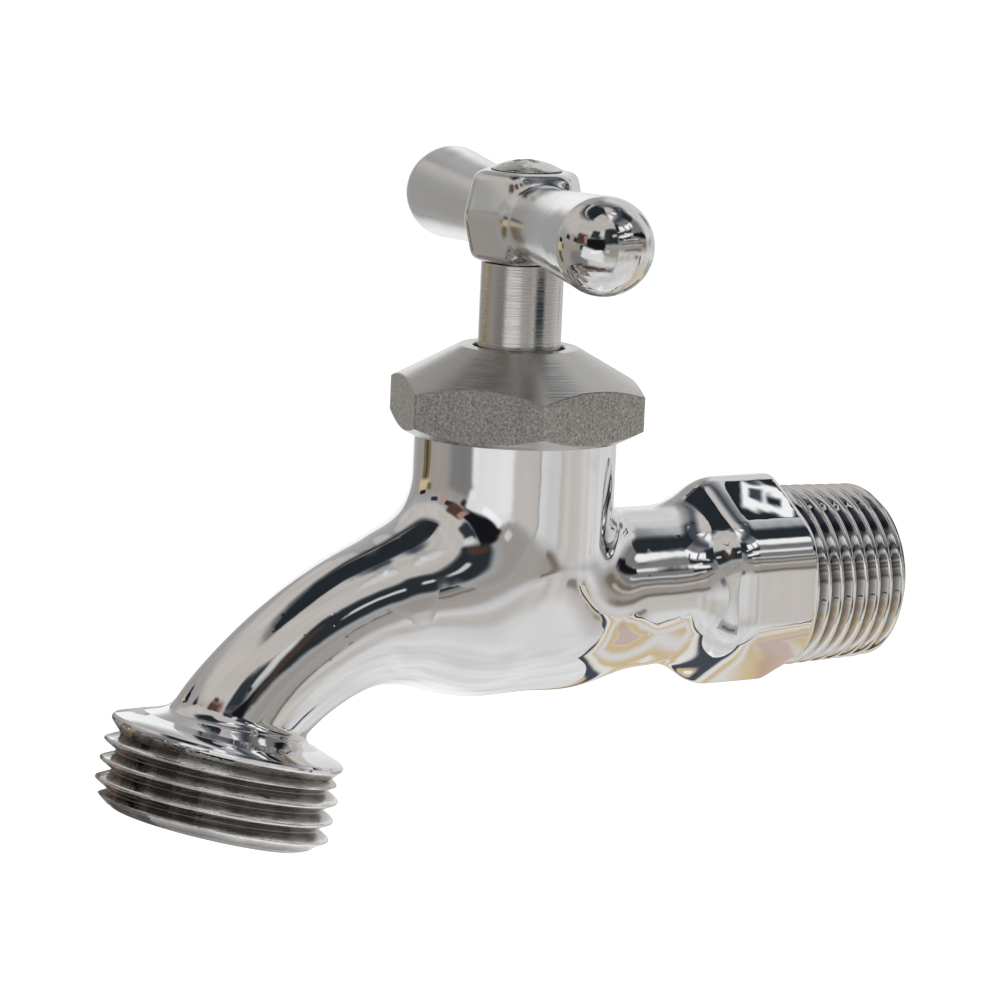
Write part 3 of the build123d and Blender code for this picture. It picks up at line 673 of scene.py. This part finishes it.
# painted shade in the roots and painted highlight on the crests: colour by distance from the outlet's axis
rel = add(nt, "ShaderNodeVectorMath", operation="SUBTRACT")
rel.inputs[1].default_value = Vector((HO[0], HO[1] - 50.0, HO[2])) * 0.001
nt.links.new(co.outputs["Vector"], rel.inputs[0])
crs = add(nt, "ShaderNodeVectorMath", operation="CROSS_PRODUCT")
nt.links.new(rel.outputs["Vector"], crs.inputs[0])
crs.inputs[1].default_value = Vector(HD)
rad = add(nt, "ShaderNodeVectorMath", operation="LENGTH")
nt.links.new(crs.outputs["Vector"], rad.inputs[0])
t2 = add(nt, "ShaderNodeTexNoise", in_Scale=520.0, in_Detail=4.0, in_Roughness=0.6)
nt.links.new(co.outputs["Vector"], t2.inputs["Vector"])
jit = add(nt, "ShaderNodeMath", operation="MULTIPLY_ADD")
nt.links.new(t2.outputs["Fac"], jit.inputs[0])
jit.inputs[1].default_value = 0.0007
nt.links.new(rad.outputs["Value"], jit.inputs[2])
root_shade_crest_highlight_range = add(nt, "ShaderNodeMapRange")
root_shade_crest_highlight_range.inputs["From Min"].default_value = 0.0122
root_shade_crest_highlight_range.inputs["From Max"].default_value = 0.0139
nt.links.new(jit.outputs["Value"], root_shade_crest_highlight_range.inputs["Value"])
# ramp from the painted shade of the roots to the painted highlight of the crests
tc = ramp(nt, root_shade_crest_highlight_range.outputs["Result"], [(0.0, (0.22, 0.21, 0.20)), (0.35, (0.38, 0.37, 0.355)), (0.62, (0.56, 0.55, 0.54)),
                                      (0.76, (0.93, 0.93, 0.925))])
nt.links.new(tc.outputs["Color"], b.inputs["Base Color"])
M_INLET = chrome("inlet_thread_chrome", (0.86, 0.86, 0.865), 0.03)
nt = M_INLET.node_tree
b = next(n for n in nt.nodes if n.type == "BSDF_PRINCIPLED")
# painted shade in the thread roots and painted highlight on the crests: colour by distance from the inlet's axis,
# corrected for the taper
co = coords(nt)
sep = add(nt, "ShaderNodeSeparateXYZ")
nt.links.new(co.outputs["Vector"], sep.inputs["Vector"])
cxz = add(nt, "ShaderNodeCombineXYZ")
nt.links.new(sep.outputs["X"], cxz.inputs["X"])
nt.links.new(sep.outputs["Z"], cxz.inputs["Z"])
rad = add(nt, "ShaderNodeVectorMath", operation="LENGTH")
nt.links.new(cxz.outputs["Vector"], rad.inputs[0])
tap_ = add(nt, "ShaderNodeMath", operation="MULTIPLY_ADD")
nt.links.new(sep.outputs["Y"], tap_.inputs[0])
tap_.inputs[1].default_value = 1 / 32
nt.links.new(rad.outputs["Value"], tap_.inputs[2])
mr = add(nt, "ShaderNodeMapRange")
mr.inputs["From Min"].default_value = 0.0091
mr.inputs["From Max"].default_value = 0.0104
nt.links.new(tap_.outputs["Value"], mr.inputs["Value"])
tc = ramp(nt, mr.outputs["Result"], [(0.0, (0.34, 0.335, 0.33)), (0.45, (0.62, 0.62, 0.62)), (0.75, (0.87, 0.87, 0.872))])
nt.links.new(tc.outputs["Color"], b.inputs["Base Color"])
M_HANDLE, nt, b = new_material("handle_chrome", (0.80, 0.80, 0.797), 0.12)
co = coords(nt)
n1 = add(nt, "ShaderNodeTexNoise", in_Scale=170.0, in_Detail=2.0)
nt.links.new(co.outputs["Vector"], n1.inputs["Vector"])
bump(nt, b, n1.outputs["Fac"], 0.12, 0.0006)
n2 = add(nt, "ShaderNodeTexNoise", in_Scale=1100.0, in_Detail=3.0)
nt.links.new(co.outputs["Vector"], n2.inputs["Vector"])
bump(nt, b, n2.outputs["Fac"], 0.06, 0.0002)
# the balls are polished, the arms and the hub are only tumbled
off = add(nt, "ShaderNodeVectorMath", operation="SUBTRACT")
off.inputs[1].default_value = (0.0, -0.05, 0.001 * BAR_Z)
nt.links.new(co.outputs["Vector"], off.inputs[0])
far = add(nt, "ShaderNodeVectorMath", operation="LENGTH")
nt.links.new(off.outputs["Vector"], far.inputs[0])
pr = add(nt, "ShaderNodeMapRange")
pr.inputs["From Min"].default_value = 0.018
pr.inputs["From Max"].default_value = 0.024
pr.inputs["To Min"].default_value = 0.17
pr.inputs["To Max"].default_value = 0.045
nt.links.new(far.outputs["Value"], pr.inputs["Value"])
nt.links.new(pr.outputs["Result"], b.inputs["Roughness"])
M_SCREW = chrome("screw_chrome", (0.80, 0.785, 0.76), 0.16, 0.3, 900.0)

# nut: blasted grain on the flats, turned cones above and below
M_NUT, nt, b = new_material("satin_nut", (0.42, 0.41, 0.395), 0.34)
co = coords(nt)
sep = add(nt, "ShaderNodeSeparateXYZ")
nt.links.new(co.outputs["Vector"], sep.inputs["Vector"])
geo = add(nt, "ShaderNodeNewGeometry")
sn = add(nt, "ShaderNodeSeparateXYZ")
nt.links.new(geo.outputs["True Normal"], sn.inputs["Vector"])
ab = add(nt, "ShaderNodeMath", operation="ABSOLUTE")
nt.links.new(sn.outputs["Z"], ab.inputs[0])
turned = add(nt, "ShaderNodeMapRange")
turned.inputs["From Min"].default_value = 0.25
turned.inputs["From Max"].default_value = 0.45
nt.links.new(ab.outputs[0], turned.inputs["Value"])
g1 = add(nt, "ShaderNodeTexNoise", in_Scale=3600.0, in_Detail=3.0, in_Roughness=0.75)
nt.links.new(co.outputs["Vector"], g1.inputs["Vector"])
fade = add(nt, "ShaderNodeMapRange")
fade.inputs["To Min"].default_value = 1.0
fade.inputs["To Max"].default_value = 0.12
nt.links.new(turned.outputs["Result"], fade.inputs["Value"])
gm = add(nt, "ShaderNodeMath", operation="MULTIPLY")
nt.links.new(g1.outputs["Fac"], gm.inputs[0])
nt.links.new(fade.outputs["Result"], gm.inputs[1])
bump(nt, b, gm.outputs[0], 0.8, 0.00014)
# rings of the turning tool: height depends on the distance from the nut's axis
rad = add(nt, "ShaderNodeVectorMath", operation="LENGTH")
cxy = add(nt, "ShaderNodeCombineXYZ")
sub = add(nt, "ShaderNodeMath", operation="ADD", in_1=0.05)
nt.links.new(sep.outputs["X"], cxy.inputs["X"])
nt.links.new(sep.outputs["Y"], sub.inputs[0])
nt.links.new(sub.outputs[0], cxy.inputs["Y"])
nt.links.new(cxy.outputs["Vector"], rad.inputs[0])
rc = add(nt, "ShaderNodeCombineXYZ")
nt.links.new(rad.outputs["Value"], rc.inputs["X"])
g3 = add(nt, "ShaderNodeTexNoise", in_Scale=4200.0, in_Detail=3.0, in_Roughness=0.7)
nt.links.new(rc.outputs["Vector"], g3.inputs["Vector"])
rm = add(nt, "ShaderNodeMath", operation="MULTIPLY")
nt.links.new(g3.outputs["Fac"], rm.inputs[0])
nt.links.new(turned.outputs["Result"], rm.inputs[1])
bump(nt, b, rm.outputs[0], 0.6, 0.00010)
cr = ramp(nt, g1.outputs["Fac"], [(0.34, (0.26, 0.255, 0.245)), (0.66, (0.73, 0.72, 0.69))])
mixc = add(nt, "ShaderNodeMix", data_type="RGBA")
nt.links.new(turned.outputs["Result"], mixc.inputs[0])
nt.links.new(cr.outputs["Color"], mixc.inputs[6])
mixc.inputs[7].default_value = (0.56, 0.55, 0.53, 1)
nt.links.new(mixc.outputs[2], b.inputs["Base Color"])
rr = add(nt, "ShaderNodeMapRange")
rr.inputs["To Min"].default_value = 0.46
rr.inputs["To Max"].default_value = 0.15
nt.links.new(turned.outputs["Result"], rr.inputs["Value"])
nt.links.new(rr.outputs["Result"], b.inputs["Roughness"])

# stem: fine turned rings
M_STEM, nt, b = new_material("turned_stem", (0.66, 0.65, 0.635), 0.12)
co = coords(nt, scale=(1, 1, 1))
sep = add(nt, "ShaderNodeSeparateXYZ")
nt.links.new(co.outputs["Vector"], sep.inputs["Vector"])
cmb = add(nt, "ShaderNodeCombineXYZ")
nt.links.new(sep.outputs["Z"], cmb.inputs["Z"])
g2 = add(nt, "ShaderNodeTexNoise", in_Scale=5200.0, in_Detail=3.0, in_Roughness=0.7)
nt.links.new(cmb.outputs["Vector"], g2.inputs["Vector"])
bump(nt, b, g2.outputs["Fac"], 0.5, 0.00006)


def plain(name, color, rough, metallic, scale, strength):
    m, nt, b = new_material(name, color, rough, metallic)
    co = coords(nt)
    n1 = add(nt, "ShaderNodeTexNoise", in_Scale=scale, in_Detail=4.0)
    nt.links.new(co.outputs["Vector"], n1.inputs["Vector"])
    bump(nt, b, n1.outputs["Fac"], strength, 0.0001)
    c2 = tuple(min(1, c * 1.25) for c in color)
    c1 = tuple(c * 0.75 for c in color)
    cr = ramp(nt, n1.outputs["Fac"], [(0.3, c1), (0.7, c2)])
    nt.links.new(cr.outputs["Color"], b.inputs["Base Color"])
    return m


M_BRASS = plain("brass", (0.78, 0.58, 0.28), 0.28, 1.0, 1500.0, 0.2)
M_RUBBER = plain("washer_rubber", (0.03, 0.03, 0.03), 0.6, 0.0, 1200.0, 0.3)
M_PACK = plain("packing", (0.16, 0.155, 0.15), 0.7, 0.0, 700.0, 0.8)
M_GASKET = plain("gasket_fibre", (0.38, 0.11, 0.07), 0.8, 0.0, 900.0, 0.5)

for ob, mat in ((body, M_BODY), (hose_end, M_THREAD), (inlet_end, M_INLET), (nut, M_NUT), (stem, M_STEM), (sq, M_STEM),
                (handle, M_HANDLE), (screw, M_SCREW)):
    ob.data.materials.clear()
    ob.data.materials.append(mat)
hose_end.data.materials.append(M_BODY)
for f in hose_end.data.polygons:
    c = np.array(f.center) * 1000.0 - np.array((HO[0], HO[1] - 50.0, HO[2]))
    w = float(c @ HD)
    f.material_index = 1 if w < -5.9 or w > 2.85 or float(np.linalg.norm(c - w * HD)) < 10.5 else 0
for node, mat in (("cap_gasket", M_GASKET), ("packing_washer", M_BRASS), ("packing_ring", M_PACK),
                  ("washer_holder", M_BRASS), ("seat_washer", M_RUBBER), ("washer_screw", M_BRASS)):
    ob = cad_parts[node]
    for sl in ob.material_slots:
        sl.material = mat

# ---------------------------------------------------------------------------
# camera
# ---------------------------------------------------------------------------
cam_data = bpy.data.cameras.new("camera")
cam = bpy.data.objects.new("camera", cam_data)
bpy.context.scene.collection.objects.link(cam)
bpy.context.scene.camera = cam
cam_data.lens = 168.19
cam_data.sensor_width = 36.0
cam_data.clip_start = 0.01
cam_data.clip_end = 20.0
AZ, EL, DIST, ROLL = math.radians(57.524), math.radians(9.669), 0.534, math.radians(2.532)
back = Vector((math.sin(AZ) * math.cos(EL), -math.cos(AZ) * math.cos(EL), math.sin(EL)))
target = Vector((0.0, -0.051638, 0.011179))
right = Vector((0, 0, 1)).cross(back).normalized()
up = back.cross(right)
r2 = right * math.cos(ROLL) + up * math.sin(ROLL)
u2 = -right * math.sin(ROLL) + up * math.cos(ROLL)
rot = Matrix((r2, u2, back)).transposed().to_4x4()
cam.matrix_world = Matrix.Translation(target + back * DIST) @ rot


# ---------------------------------------------------------------------------
# studio: pale floor, soft lights and cards
# ---------------------------------------------------------------------------
# card stock: red, green, blue of 255
BLACK = (20, 20, 25)
INK = (35, 40, 45)
SLATE = (60, 65, 75)
UMBER = (75, 55, 45)
OLIVE = (105, 95, 65)
TAUPE = (110, 100, 90)
IRON = (90, 90, 90)
ASH = (115, 115, 115)
STONE = (150, 145, 140)
GREY = (155, 155, 155)
ROSE = (170, 135, 125)
SAND = (195, 175, 140)
PUTTY = (185, 180, 175)
SILVER = (205, 205, 205)
PEARL = (220, 220, 220)
WHITE = (240, 240, 240)
# card: azimuth and elevation of its middle as the camera sees them, half sizes, turn, edge softness (degrees),
# stock, opacity
DOME = [
    # ceiling
    (-105, 76, 62, 17, -3, 4, INK, 1.0),
    (-168, 62, 14, 14, 0, 6, ASH, 0.8),
    (-20, 88, 60, 9, 0, 5, SLATE, 0.95),
    (-12, 66, 44, 13, -5, 6, PUTTY, 1.0),
    (108, 64, 82, 13, -3, 5, SLATE, 0.97),
    (52, 78, 40, 12, 6, 6, GREY, 0.9),
    (40, 76, 17, 7, 12, 3, WHITE, 0.95),
    (90, 77, 15, 4, -6, 3, WHITE, 0.9),
    (24, 60, 10, 12, 0, 4, SILVER, 0.8),
    (132, 60, 8, 3, 20, 2, PEARL, 0.85),
    (150, 68, 7, 3, -20, 2, INK, 0.8),
    (168, 52, 22, 16, 0, 7, GREY, 0.8),
    # windows on the right, with their frames
    (66, 35, 44, 21, 0, 6, ASH, 0.95),
    (32, 44, 15, 11, -10, 4, INK, 0.97),
    (66, 42.5, 24, 5.0, -2, 2.0, WHITE, 1.0),
    (61, 42.6, 1.6, 6.0, 10, 1.0, SLATE, 0.9),
    (78, 38.5, 1.3, 4.0, -14, 1.0, SLATE, 0.85),
    (44, 37, 10, 1.7, 8, 1.2, PEARL, 0.9),
    (52, 33, 24, 1.8, 3, 1.2, INK, 0.95),
    (68, 29.2, 16, 2.0, -4, 1.1, PEARL, 0.95),
    (94, 20.0, 19, 3.4, -25, 1.5, BLACK, 0.98),
    (116, 53.5, 26, 8.5, 0, 2.5, INK, 0.97),
    (67, -10.5, 12, 3.6, 0, 1.5, PUTTY, 0.9),
    (52, 26.5, 16, 1.8, 4, 1.0, WHITE, 0.95),
    (52, 22.0, 18, 1.7, 2, 1.0, INK, 0.92),
    (106, 16, 8, 3.6, -34, 1.8, BLACK, 0.97),
    (66, 18.5, 20, 1.3, -5, 1.0, SILVER, 0.85),
    (78, 14.5, 24, 1.5, -7, 1.2, IRON, 0.85),
    # wall at the back right
    (150, 24, 33, 32, 0, 7, SILVER, 0.97),
    (148, 17, 4, 8, 12, 3, IRON, 0.85),
    (128, 2, 9, 4, 8, 4, STONE, 0.8),
    (99, 34, 8, 8, 0, 5, ASH, 0.8),
    # low wall on the right
    (66, 5, 46, 8.5, -2, 4, STONE, 0.95),
    (66, 10, 34, 1.3, -4, 1.0, TAUPE, 0.85),
    (96, 5, 13, 3.6, -14, 2.0, TAUPE, 0.9),
    (74, 6, 26, 1.2, -5, 1.0, PUTTY, 0.85),
    (70, -3, 22, 1.5, 0, 1.2, TAUPE, 0.85),
    (20, 4, 12, 8, 0, 4, GREY, 0.9),
    (27, -2, 4, 3, 0, 2, IRON, 0.8),
    # bench top
    (58, -17, 42, 6, 4, 4, PUTTY, 0.85),
    (80, -15, 5, 2.4, 0, 1.6, ASH, 0.85),
    (112, -25, 15, 12, 0, 2.5, SILVER, 0.95),
    (150, -22, 20, 8, 0, 3, GREY, 0.9),
    (97, -24, 1.9, 13, 24, 1.4, SLATE, 0.95),
    (124, -62, 50, 16, 0, 8, PEARL, 0.9),
    # left
    (-138, 4, 16, 34, 0, 7, GREY, 0.95),
    (-166, 4, 11, 14, 14, 4, WHITE, 0.95),
    (-172, -34, 12, 56, 0, 8, WHITE, 0.9),
    (-160, 34, 20, 14, 0, 8, GREY, 0.8),
]
WALL = [
    (-95, 58, 62, 10, 3, 3, INK, 1.0),
    (-86, 42, 66, 15, 2, 6, PUTTY, 1.0),
    (-10, 54, 44, 22, 0, 8, PUTTY, 1.0),
    (-86, 1, 52, 14, 0, 7, STONE, 1.0),
    (-55, -8, 17, 9, 0, 5, ASH, 0.95),
    (-52, -32, 26, 20, 0, 8, ASH, 0.9),
    (-108, -16, 32, 16, 0, 8, STONE, 0.9),
    (-113, -9, 7.5, 8.5, 0, 2.2, OLIVE, 0.95),
    (-112.5, -9, 2.0, 8, 0, 1.2, UMBER, 0.95),
    (-111, 4, 12, 4.4, 0, 2, SAND, 0.95),
    (-101, 5, 4, 3.4, 0, 1.6, OLIVE, 0.95),
    (-112, 11.5, 6, 2.4, -4, 1.2, BLACK, 0.97),
    (-88, 21, 5.5, 3.0, -6, 1.4, INK, 0.95),
    (-74, 18, 4, 9, 0, 2, ROSE, 0.85),
    (-63, 20, 5.5, 3.2, -6, 1.3, INK, 0.95),
    (-47, 24, 13, 8.5, 0, 3, UMBER, 0.96),
    (-36, 24, 4.5, 6.5, 12, 2, ROSE, 0.9),
    (-40, 9, 9, 4.5, 8, 2.2, INK, 0.95),
    (-14, 16, 19, 10.0, 0, 2.0, BLACK, 0.99),
    (-16, 34, 11, 7.5, -6, 3, INK, 0.92),
    (-5, 36, 4, 6, 0, 2, SILVER, 0.85),
    (16, 31, 14, 13, 0, 3, INK, 0.96),
    (22, 33, 5, 2.4, 8, 1.4, PEARL, 0.85),
    (7, 29, 3, 9, 0, 1.6, UMBER, 0.8),
    (-19, -5, 26, 11.5, -14, 3, PEARL, 1.0),
    (49, -1.0, 12, 6.5, 0, 2.5, SLATE, 0.95),
    (-12, 3, 12, 3.2, 4, 1.6, WHITE, 0.9),
    (16, 4, 13, 7.5, 0, 2.5, STONE, 0.95),
    (10, 4, 3, 3, 0, 1.5, SILVER, 0.9),
    (16, -11, 14, 6, 0, 3, PUTTY, 0.95),
    (-2, -22, 32, 7, 0, 4, SILVER, 0.9),
    (-28, -34, 34, 4.0, -4, 3, UMBER, 0.9),
    (-62, -27, 14, 2.2, 8, 1.6, UMBER, 0.9),
    (4, -40, 20, 2.6, 6, 2, IRON, 0.85),
]
RNG = np.random.default_rng(7)
WAVES = [(RNG.normal(size=3) * f, RNG.uniform(0, 6.28)) for f in (2.2, 3.1, 4.7, 6.5, 9.3, 13.0, 19.0) for _ in range(3)]


def ripple(D, lo, hi):
    """Smooth irregular field between -1 and 1 over directions."""
    s = 0
    n = 0
    for k, (w, p) in enumerate(WAVES[lo:hi]):
        s = s + np.sin(D @ w + p)
        n += 1
    return s / math.sqrt(n)


def card_mask(az, el, c):
    a0, e0, wa, we, turn, soft, _, alpha = c
    t = math.radians(turn)
    da = (az - a0 + 180) % 360 - 180
    de = el - e0
    u = np.abs(da * math.cos(t) + de * math.sin(t))
    v = np.abs(-da * math.sin(t) + de * math.cos(t))
    mu = np.clip((wa - u) / soft * 0.5 + 0.5, 0, 1)
    mv = np.clip((we - v) / soft * 0.5 + 0.5, 0, 1)
    m = mu * mv
    return (m * m * (3 - 2 * m)) * alpha


def linear(c):
    c = np.asarray(c, float) / 255
    return np.where(c <= 0.04045, c / 12.92, ((c + 0.055) / 1.055) ** 2.4)


def paint(az, el, D, base, cards, warp):
    az = az + warp * ripple(D, 3, 9)
    el = el + 0.7 * warp * ripple(D, 9, 15)
    col = base
    for c in cards:
        m = card_mask(az, el, c)[:, None]
        col = col * (1 - m) + np.array(c[6], float) * m
    return col


def dome_shade(az, el, D):
    up = np.clip((el + 10) / 12, 0, 1)[:, None]
    mid = np.clip((el - 46) / 10, 0, 1)[:, None]
    base = (1 - up) * np.array(SILVER, float) + up * np.array(GREY, float)
    base = base * (1 - mid) + mid * np.array(PUTTY, float)
    col = paint(az, el, D, base, DOME, 1.3)
    return col * (1 + 0.03 * ripple(D, 12, 21)[:, None])


def wall_shade(az, el, D):
    base = np.zeros((len(az), 3)) + np.array(GREY, float)
    col = paint(az, el, D, base, WALL, 1.1)
    return col * (1 + 0.018 * ripple(D, 12, 21)[:, None])


CAM_AZ = math.degrees(AZ) - 90.0


def shell(name, az, el, place, shade):
    """Grid of emitting card stock over azimuths and elevations; only reflections and light see it."""
    A, E = np.meshgrid(az, el, indexing="ij")
    a, e = A.ravel(), E.ravel()
    ar, er = np.radians(a), np.radians(e)
    D = np.stack([np.cos(er) * np.cos(ar), np.cos(er) * np.sin(ar), np.sin(er)], 1)
    col = linear(np.clip(shade(a, e, D), 0, 255)) / 0.86
    V = place(np.radians(a + CAM_AZ), er)
    n, m = A.shape
    I = np.arange(n * m).reshape(n, m)
    F = np.stack([I[:-1, :-1], I[1:, :-1], I[1:, 1:], I[:-1, 1:]], -1).reshape(-1, 4)
    me = bpy.data.meshes.new(name)
    me.from_pydata([tuple(p) for p in V.tolist()], [], F.tolist())
    at = me.color_attributes.new("card", "FLOAT_COLOR", "POINT")
    at.data.foreach_set("color", np.concatenate([col, np.ones((len(col), 1))], 1).astype(np.float32).ravel())
    ob = bpy.data.objects.new(name, me)
    bpy.context.scene.collection.objects.link(ob)
    m_ = bpy.data.materials.new(name)
    m_.use_nodes = True
    nt = m_.node_tree
    nt.nodes.clear()
    a_ = nt.nodes.new("ShaderNodeAttribute")
    a_.attribute_name = "card"
    e_ = nt.nodes.new("ShaderNodeEmission")
    o_ = nt.nodes.new("ShaderNodeOutputMaterial")
    nt.links.new(a_.outputs["Color"], e_.inputs["Color"])
    nt.links.new(e_.outputs[0], o_.inputs["Surface"])
    m_.cycles.emission_sampling = "NONE"
    me.materials.append(m_)
    ob.visible_camera = False
    ob.visible_shadow = False
    return ob


def on_dome(ar, er):
    return np.stack([4 * np.cos(er) * np.cos(ar), -0.05 + 4 * np.cos(er) * np.sin(ar), 0.01 + 4 * np.sin(er)], 1)


def on_wall(ar, er):
    return np.stack([0.17 * np.cos(ar), -0.05 + 0.17 * np.sin(ar), 0.015 + 0.17 * np.tan(er)], 1)


shell("dome", np.arange(-180, 180.5, 1.0), np.arange(-90, 90.5, 1.0), on_dome, dome_shade)
shell("card_wall", np.arange(-150, 30.5, 0.5), np.arange(-45, 60.5, 0.5), on_wall, wall_shade)

def bench_shade(x, v, D):
    """Wooden bench edge under the wall end; here the first two values are lengths in mm."""
    bend = v + 4.0 * np.sin(x * 0.045) + 1.5 * np.sin(x * 0.13 + 1.0)
    grain = 0.5 + 0.5 * np.sin(bend * 0.55 + 0.9 * np.sin(x * 0.06))
    col = np.outer(grain, SILVER) + np.outer(1 - grain, SAND)
    for pos, half, shade_, alpha in ((24.5, 2.2, SLATE, 0.95), (29.5, 1.6, PEARL, 0.8),
                                     (47.0, 2.4, ROSE, 0.5), (62.0, 0.8, OLIVE, 0.6)):
        m = (np.clip((half - np.abs(bend - pos)) / 1.2 + 0.5, 0, 1) * alpha)[:, None]
        col = col * (1 - m) + np.array(shade_, float) * m
    return col


XB, VB = np.arange(-110, 90.5, 1.0), np.arange(22, 140.5, 0.5)
gx, gv = np.meshgrid(XB, VB, indexing="ij")
gv = gv + 5.0 + 1.2 * np.maximum(0, gx - 22.0)
shell("card_bench", XB, VB, lambda a, e: np.stack([0.001 * gx.ravel(), 0.001 * gv.ravel() - 0.05,
                                                   np.full(gx.size, -0.032)], 1), bench_shade)


def low_shade(az, el, D):
    """Dark speckled screen beside the outlet; the second value is a length in mm."""
    P = np.stack([45 * np.cos(np.radians(az)), 45 * np.sin(np.radians(az)), el], 1)
    n1 = sum(np.sin(P @ (w * 0.035) + p) for w, p in WAVES[6:18]) / math.sqrt(12)
    n2 = sum(np.sin(P @ (w * 0.06) + p) for w, p in WAVES[12:21]) / 3
    t = np.clip(0.5 + 0.5 * n1, 0, 1)[:, None]
    col = (1 - t) * np.array(IRON, float) + t * np.array(STONE, float)
    for pos, half, tone in ((-117, 3.0, ROSE), (-105, 2.0, IRON), (-83, 6.5, INK), (-68, 2.0, PUTTY)):
        m = (np.clip((half - np.abs(az - pos + 2.0 * n1)) / 1.5 + 0.5, 0, 1))[:, None]
        col = col * (1 - m) + np.array(tone, float) * m
    fleck = np.clip((n2 - 1.15) / 0.3, 0, 1)[:, None]
    return col * (1 - fleck) + fleck * np.array(SILVER, float)


LA, LZ = np.arange(-165, -9.5, 1.0), np.arange(-78, -9.5, 1.0)
shell("card_low", LA, LZ, lambda a, e: np.stack([0.045 * np.cos(a), -0.05 - 0.03767 + 0.045 * np.sin(a),
                                                 0.001 * np.degrees(e)], 1), low_shade)

def near_card(name, spot, normal, gap, w, h, shade):
    """Card a few mm away, square to the ray that leaves a flat facet; shade takes lengths in mm."""
    mirror = lambda q: q - 2 * q.dot(normal) * normal
    sight = (spot - cam.matrix_world.translation).normalized()
    e1, e2, middle = mirror(r2), mirror(u2), spot + mirror(sight) * gap
    xs, ys = np.arange(-w, w + 0.01, 0.15), np.arange(-h, h + 0.01, 0.15)
    gx_, gy_ = np.meshgrid(xs, ys, indexing="ij")
    pts = np.array(middle)[None] + 0.001 * (gx_.reshape(-1, 1) * np.array(e1)[None] + gy_.reshape(-1, 1) * np.array(e2)[None])
    return shell(name, xs, ys, lambda a, e: pts, lambda a, e, D: shade(gx_.ravel(), gy_.ravel()))


def window_shade(x, y):
    y = y + 0.30 * x
    col = np.zeros((len(x), 3)) + np.array(INK, float)

    def box(cx, cy, hx, hy, c, soft=0.5):
        m = np.clip((hx - np.abs(x - cx)) / soft + 0.5, 0, 1) * np.clip((hy - np.abs(y - cy)) / soft + 0.5, 0, 1)
        col[:] = col * (1 - m[:, None]) + np.array(c, float) * m[:, None]
    box(0.6, 0.1, 3.3, 1.75, WHITE)
    box(-0.85, 0.35, 0.80, 0.75, SLATE)
    box(1.35, 0.15, 0.95, 0.55, INK)
    return col


def pale_shade(x, y):
    t = 0.5 + 0.5 * np.sin(x * 0.9 + 0.7 * np.sin(y * 1.3))
    return np.outer(t, PUTTY) + np.outer(1 - t, GREY)


def dark_shade(x, y):
    t = 0.5 + 0.5 * np.sin(x * 0.8 + 1.0)
    return np.outer(t, SLATE) + np.outer(1 - t, INK)


# seen in the collar's upper facet
NF = Vector((0.5, 0.0, 0.8660254))
near_card("card_window", Vector((0.0, -0.05 + 0.0319, 0.0)) + NF * 0.01115 + Vector((0.8660254, 0, -0.5)) * -0.0011, NF,
          0.024, 4.8, 3.0, window_shade)
# seen at a glancing angle in the left end of the outlet's flange
LEFT = -r2.normalized()
LEFT = (LEFT - Vector(HD) * LEFT.dot(Vector(HD))).normalized()
NL = (Vector(HD) * -0.937 + LEFT * 0.349).normalized()
PL = Vector((HO[0], HO[1] - 50.0, HO[2])) * 0.001 + Vector(HD) * -0.0076 + LEFT * 0.0105
near_card("card_flange", PL, NL, 0.030, 6.5, 3.5, pale_shade)
# dark strip seen in the right side of the stem
SA = math.radians(57.524 - 90 + 27)
NS = Vector((math.cos(SA), math.sin(SA), 0.0))
near_card("card_stem", Vector((0.0, -0.05, 0.0335)) + NS * 0.00476, NS, 0.020, 5.4, 5.0, dark_shade)
# seen in the hub's upper left face
HA = BAR - math.radians(60)
NH = Vector((math.cos(HA) * 0.982, math.sin(HA) * 0.982, 0.188))
near_card("card_hub", Vector((0.0, -0.05, 0.001 * BAR_Z + 0.0025)) + NH * 0.006, NH, 0.010, 4.0, 2.6, pale_shade)

world = bpy.data.worlds.new("studio")
bpy.context.scene.world = world
world.use_nodes = True
world.node_tree.nodes["Background"].inputs["Color"].default_value = (1, 1, 1, 1)
world.node_tree.nodes["Background"].inputs["Strength"].default_value = 1.0

fl = bpy.data.meshes.new("floor")
fl.from_pydata([(-6, -6, -0.16), (6, -6, -0.16), (6, 6, -0.16), (-6, 6, -0.16)], [], [(0, 1, 2, 3)])
floor = bpy.data.objects.new("floor", fl)
bpy.context.scene.collection.objects.link(floor)
mf, ntf, bf = new_material("floor", (0.9, 0.9, 0.9), 0.9, 0.0)
bf.inputs["Emission Color"].default_value = (1, 1, 1, 1)
bf.inputs["Emission Strength"].default_value = 0.75
mf.cycles.emission_sampling = "NONE"
floor.data.materials.append(mf)
floor.visible_glossy = False

bpy.context.scene.view_settings.view_transform = "Standard"
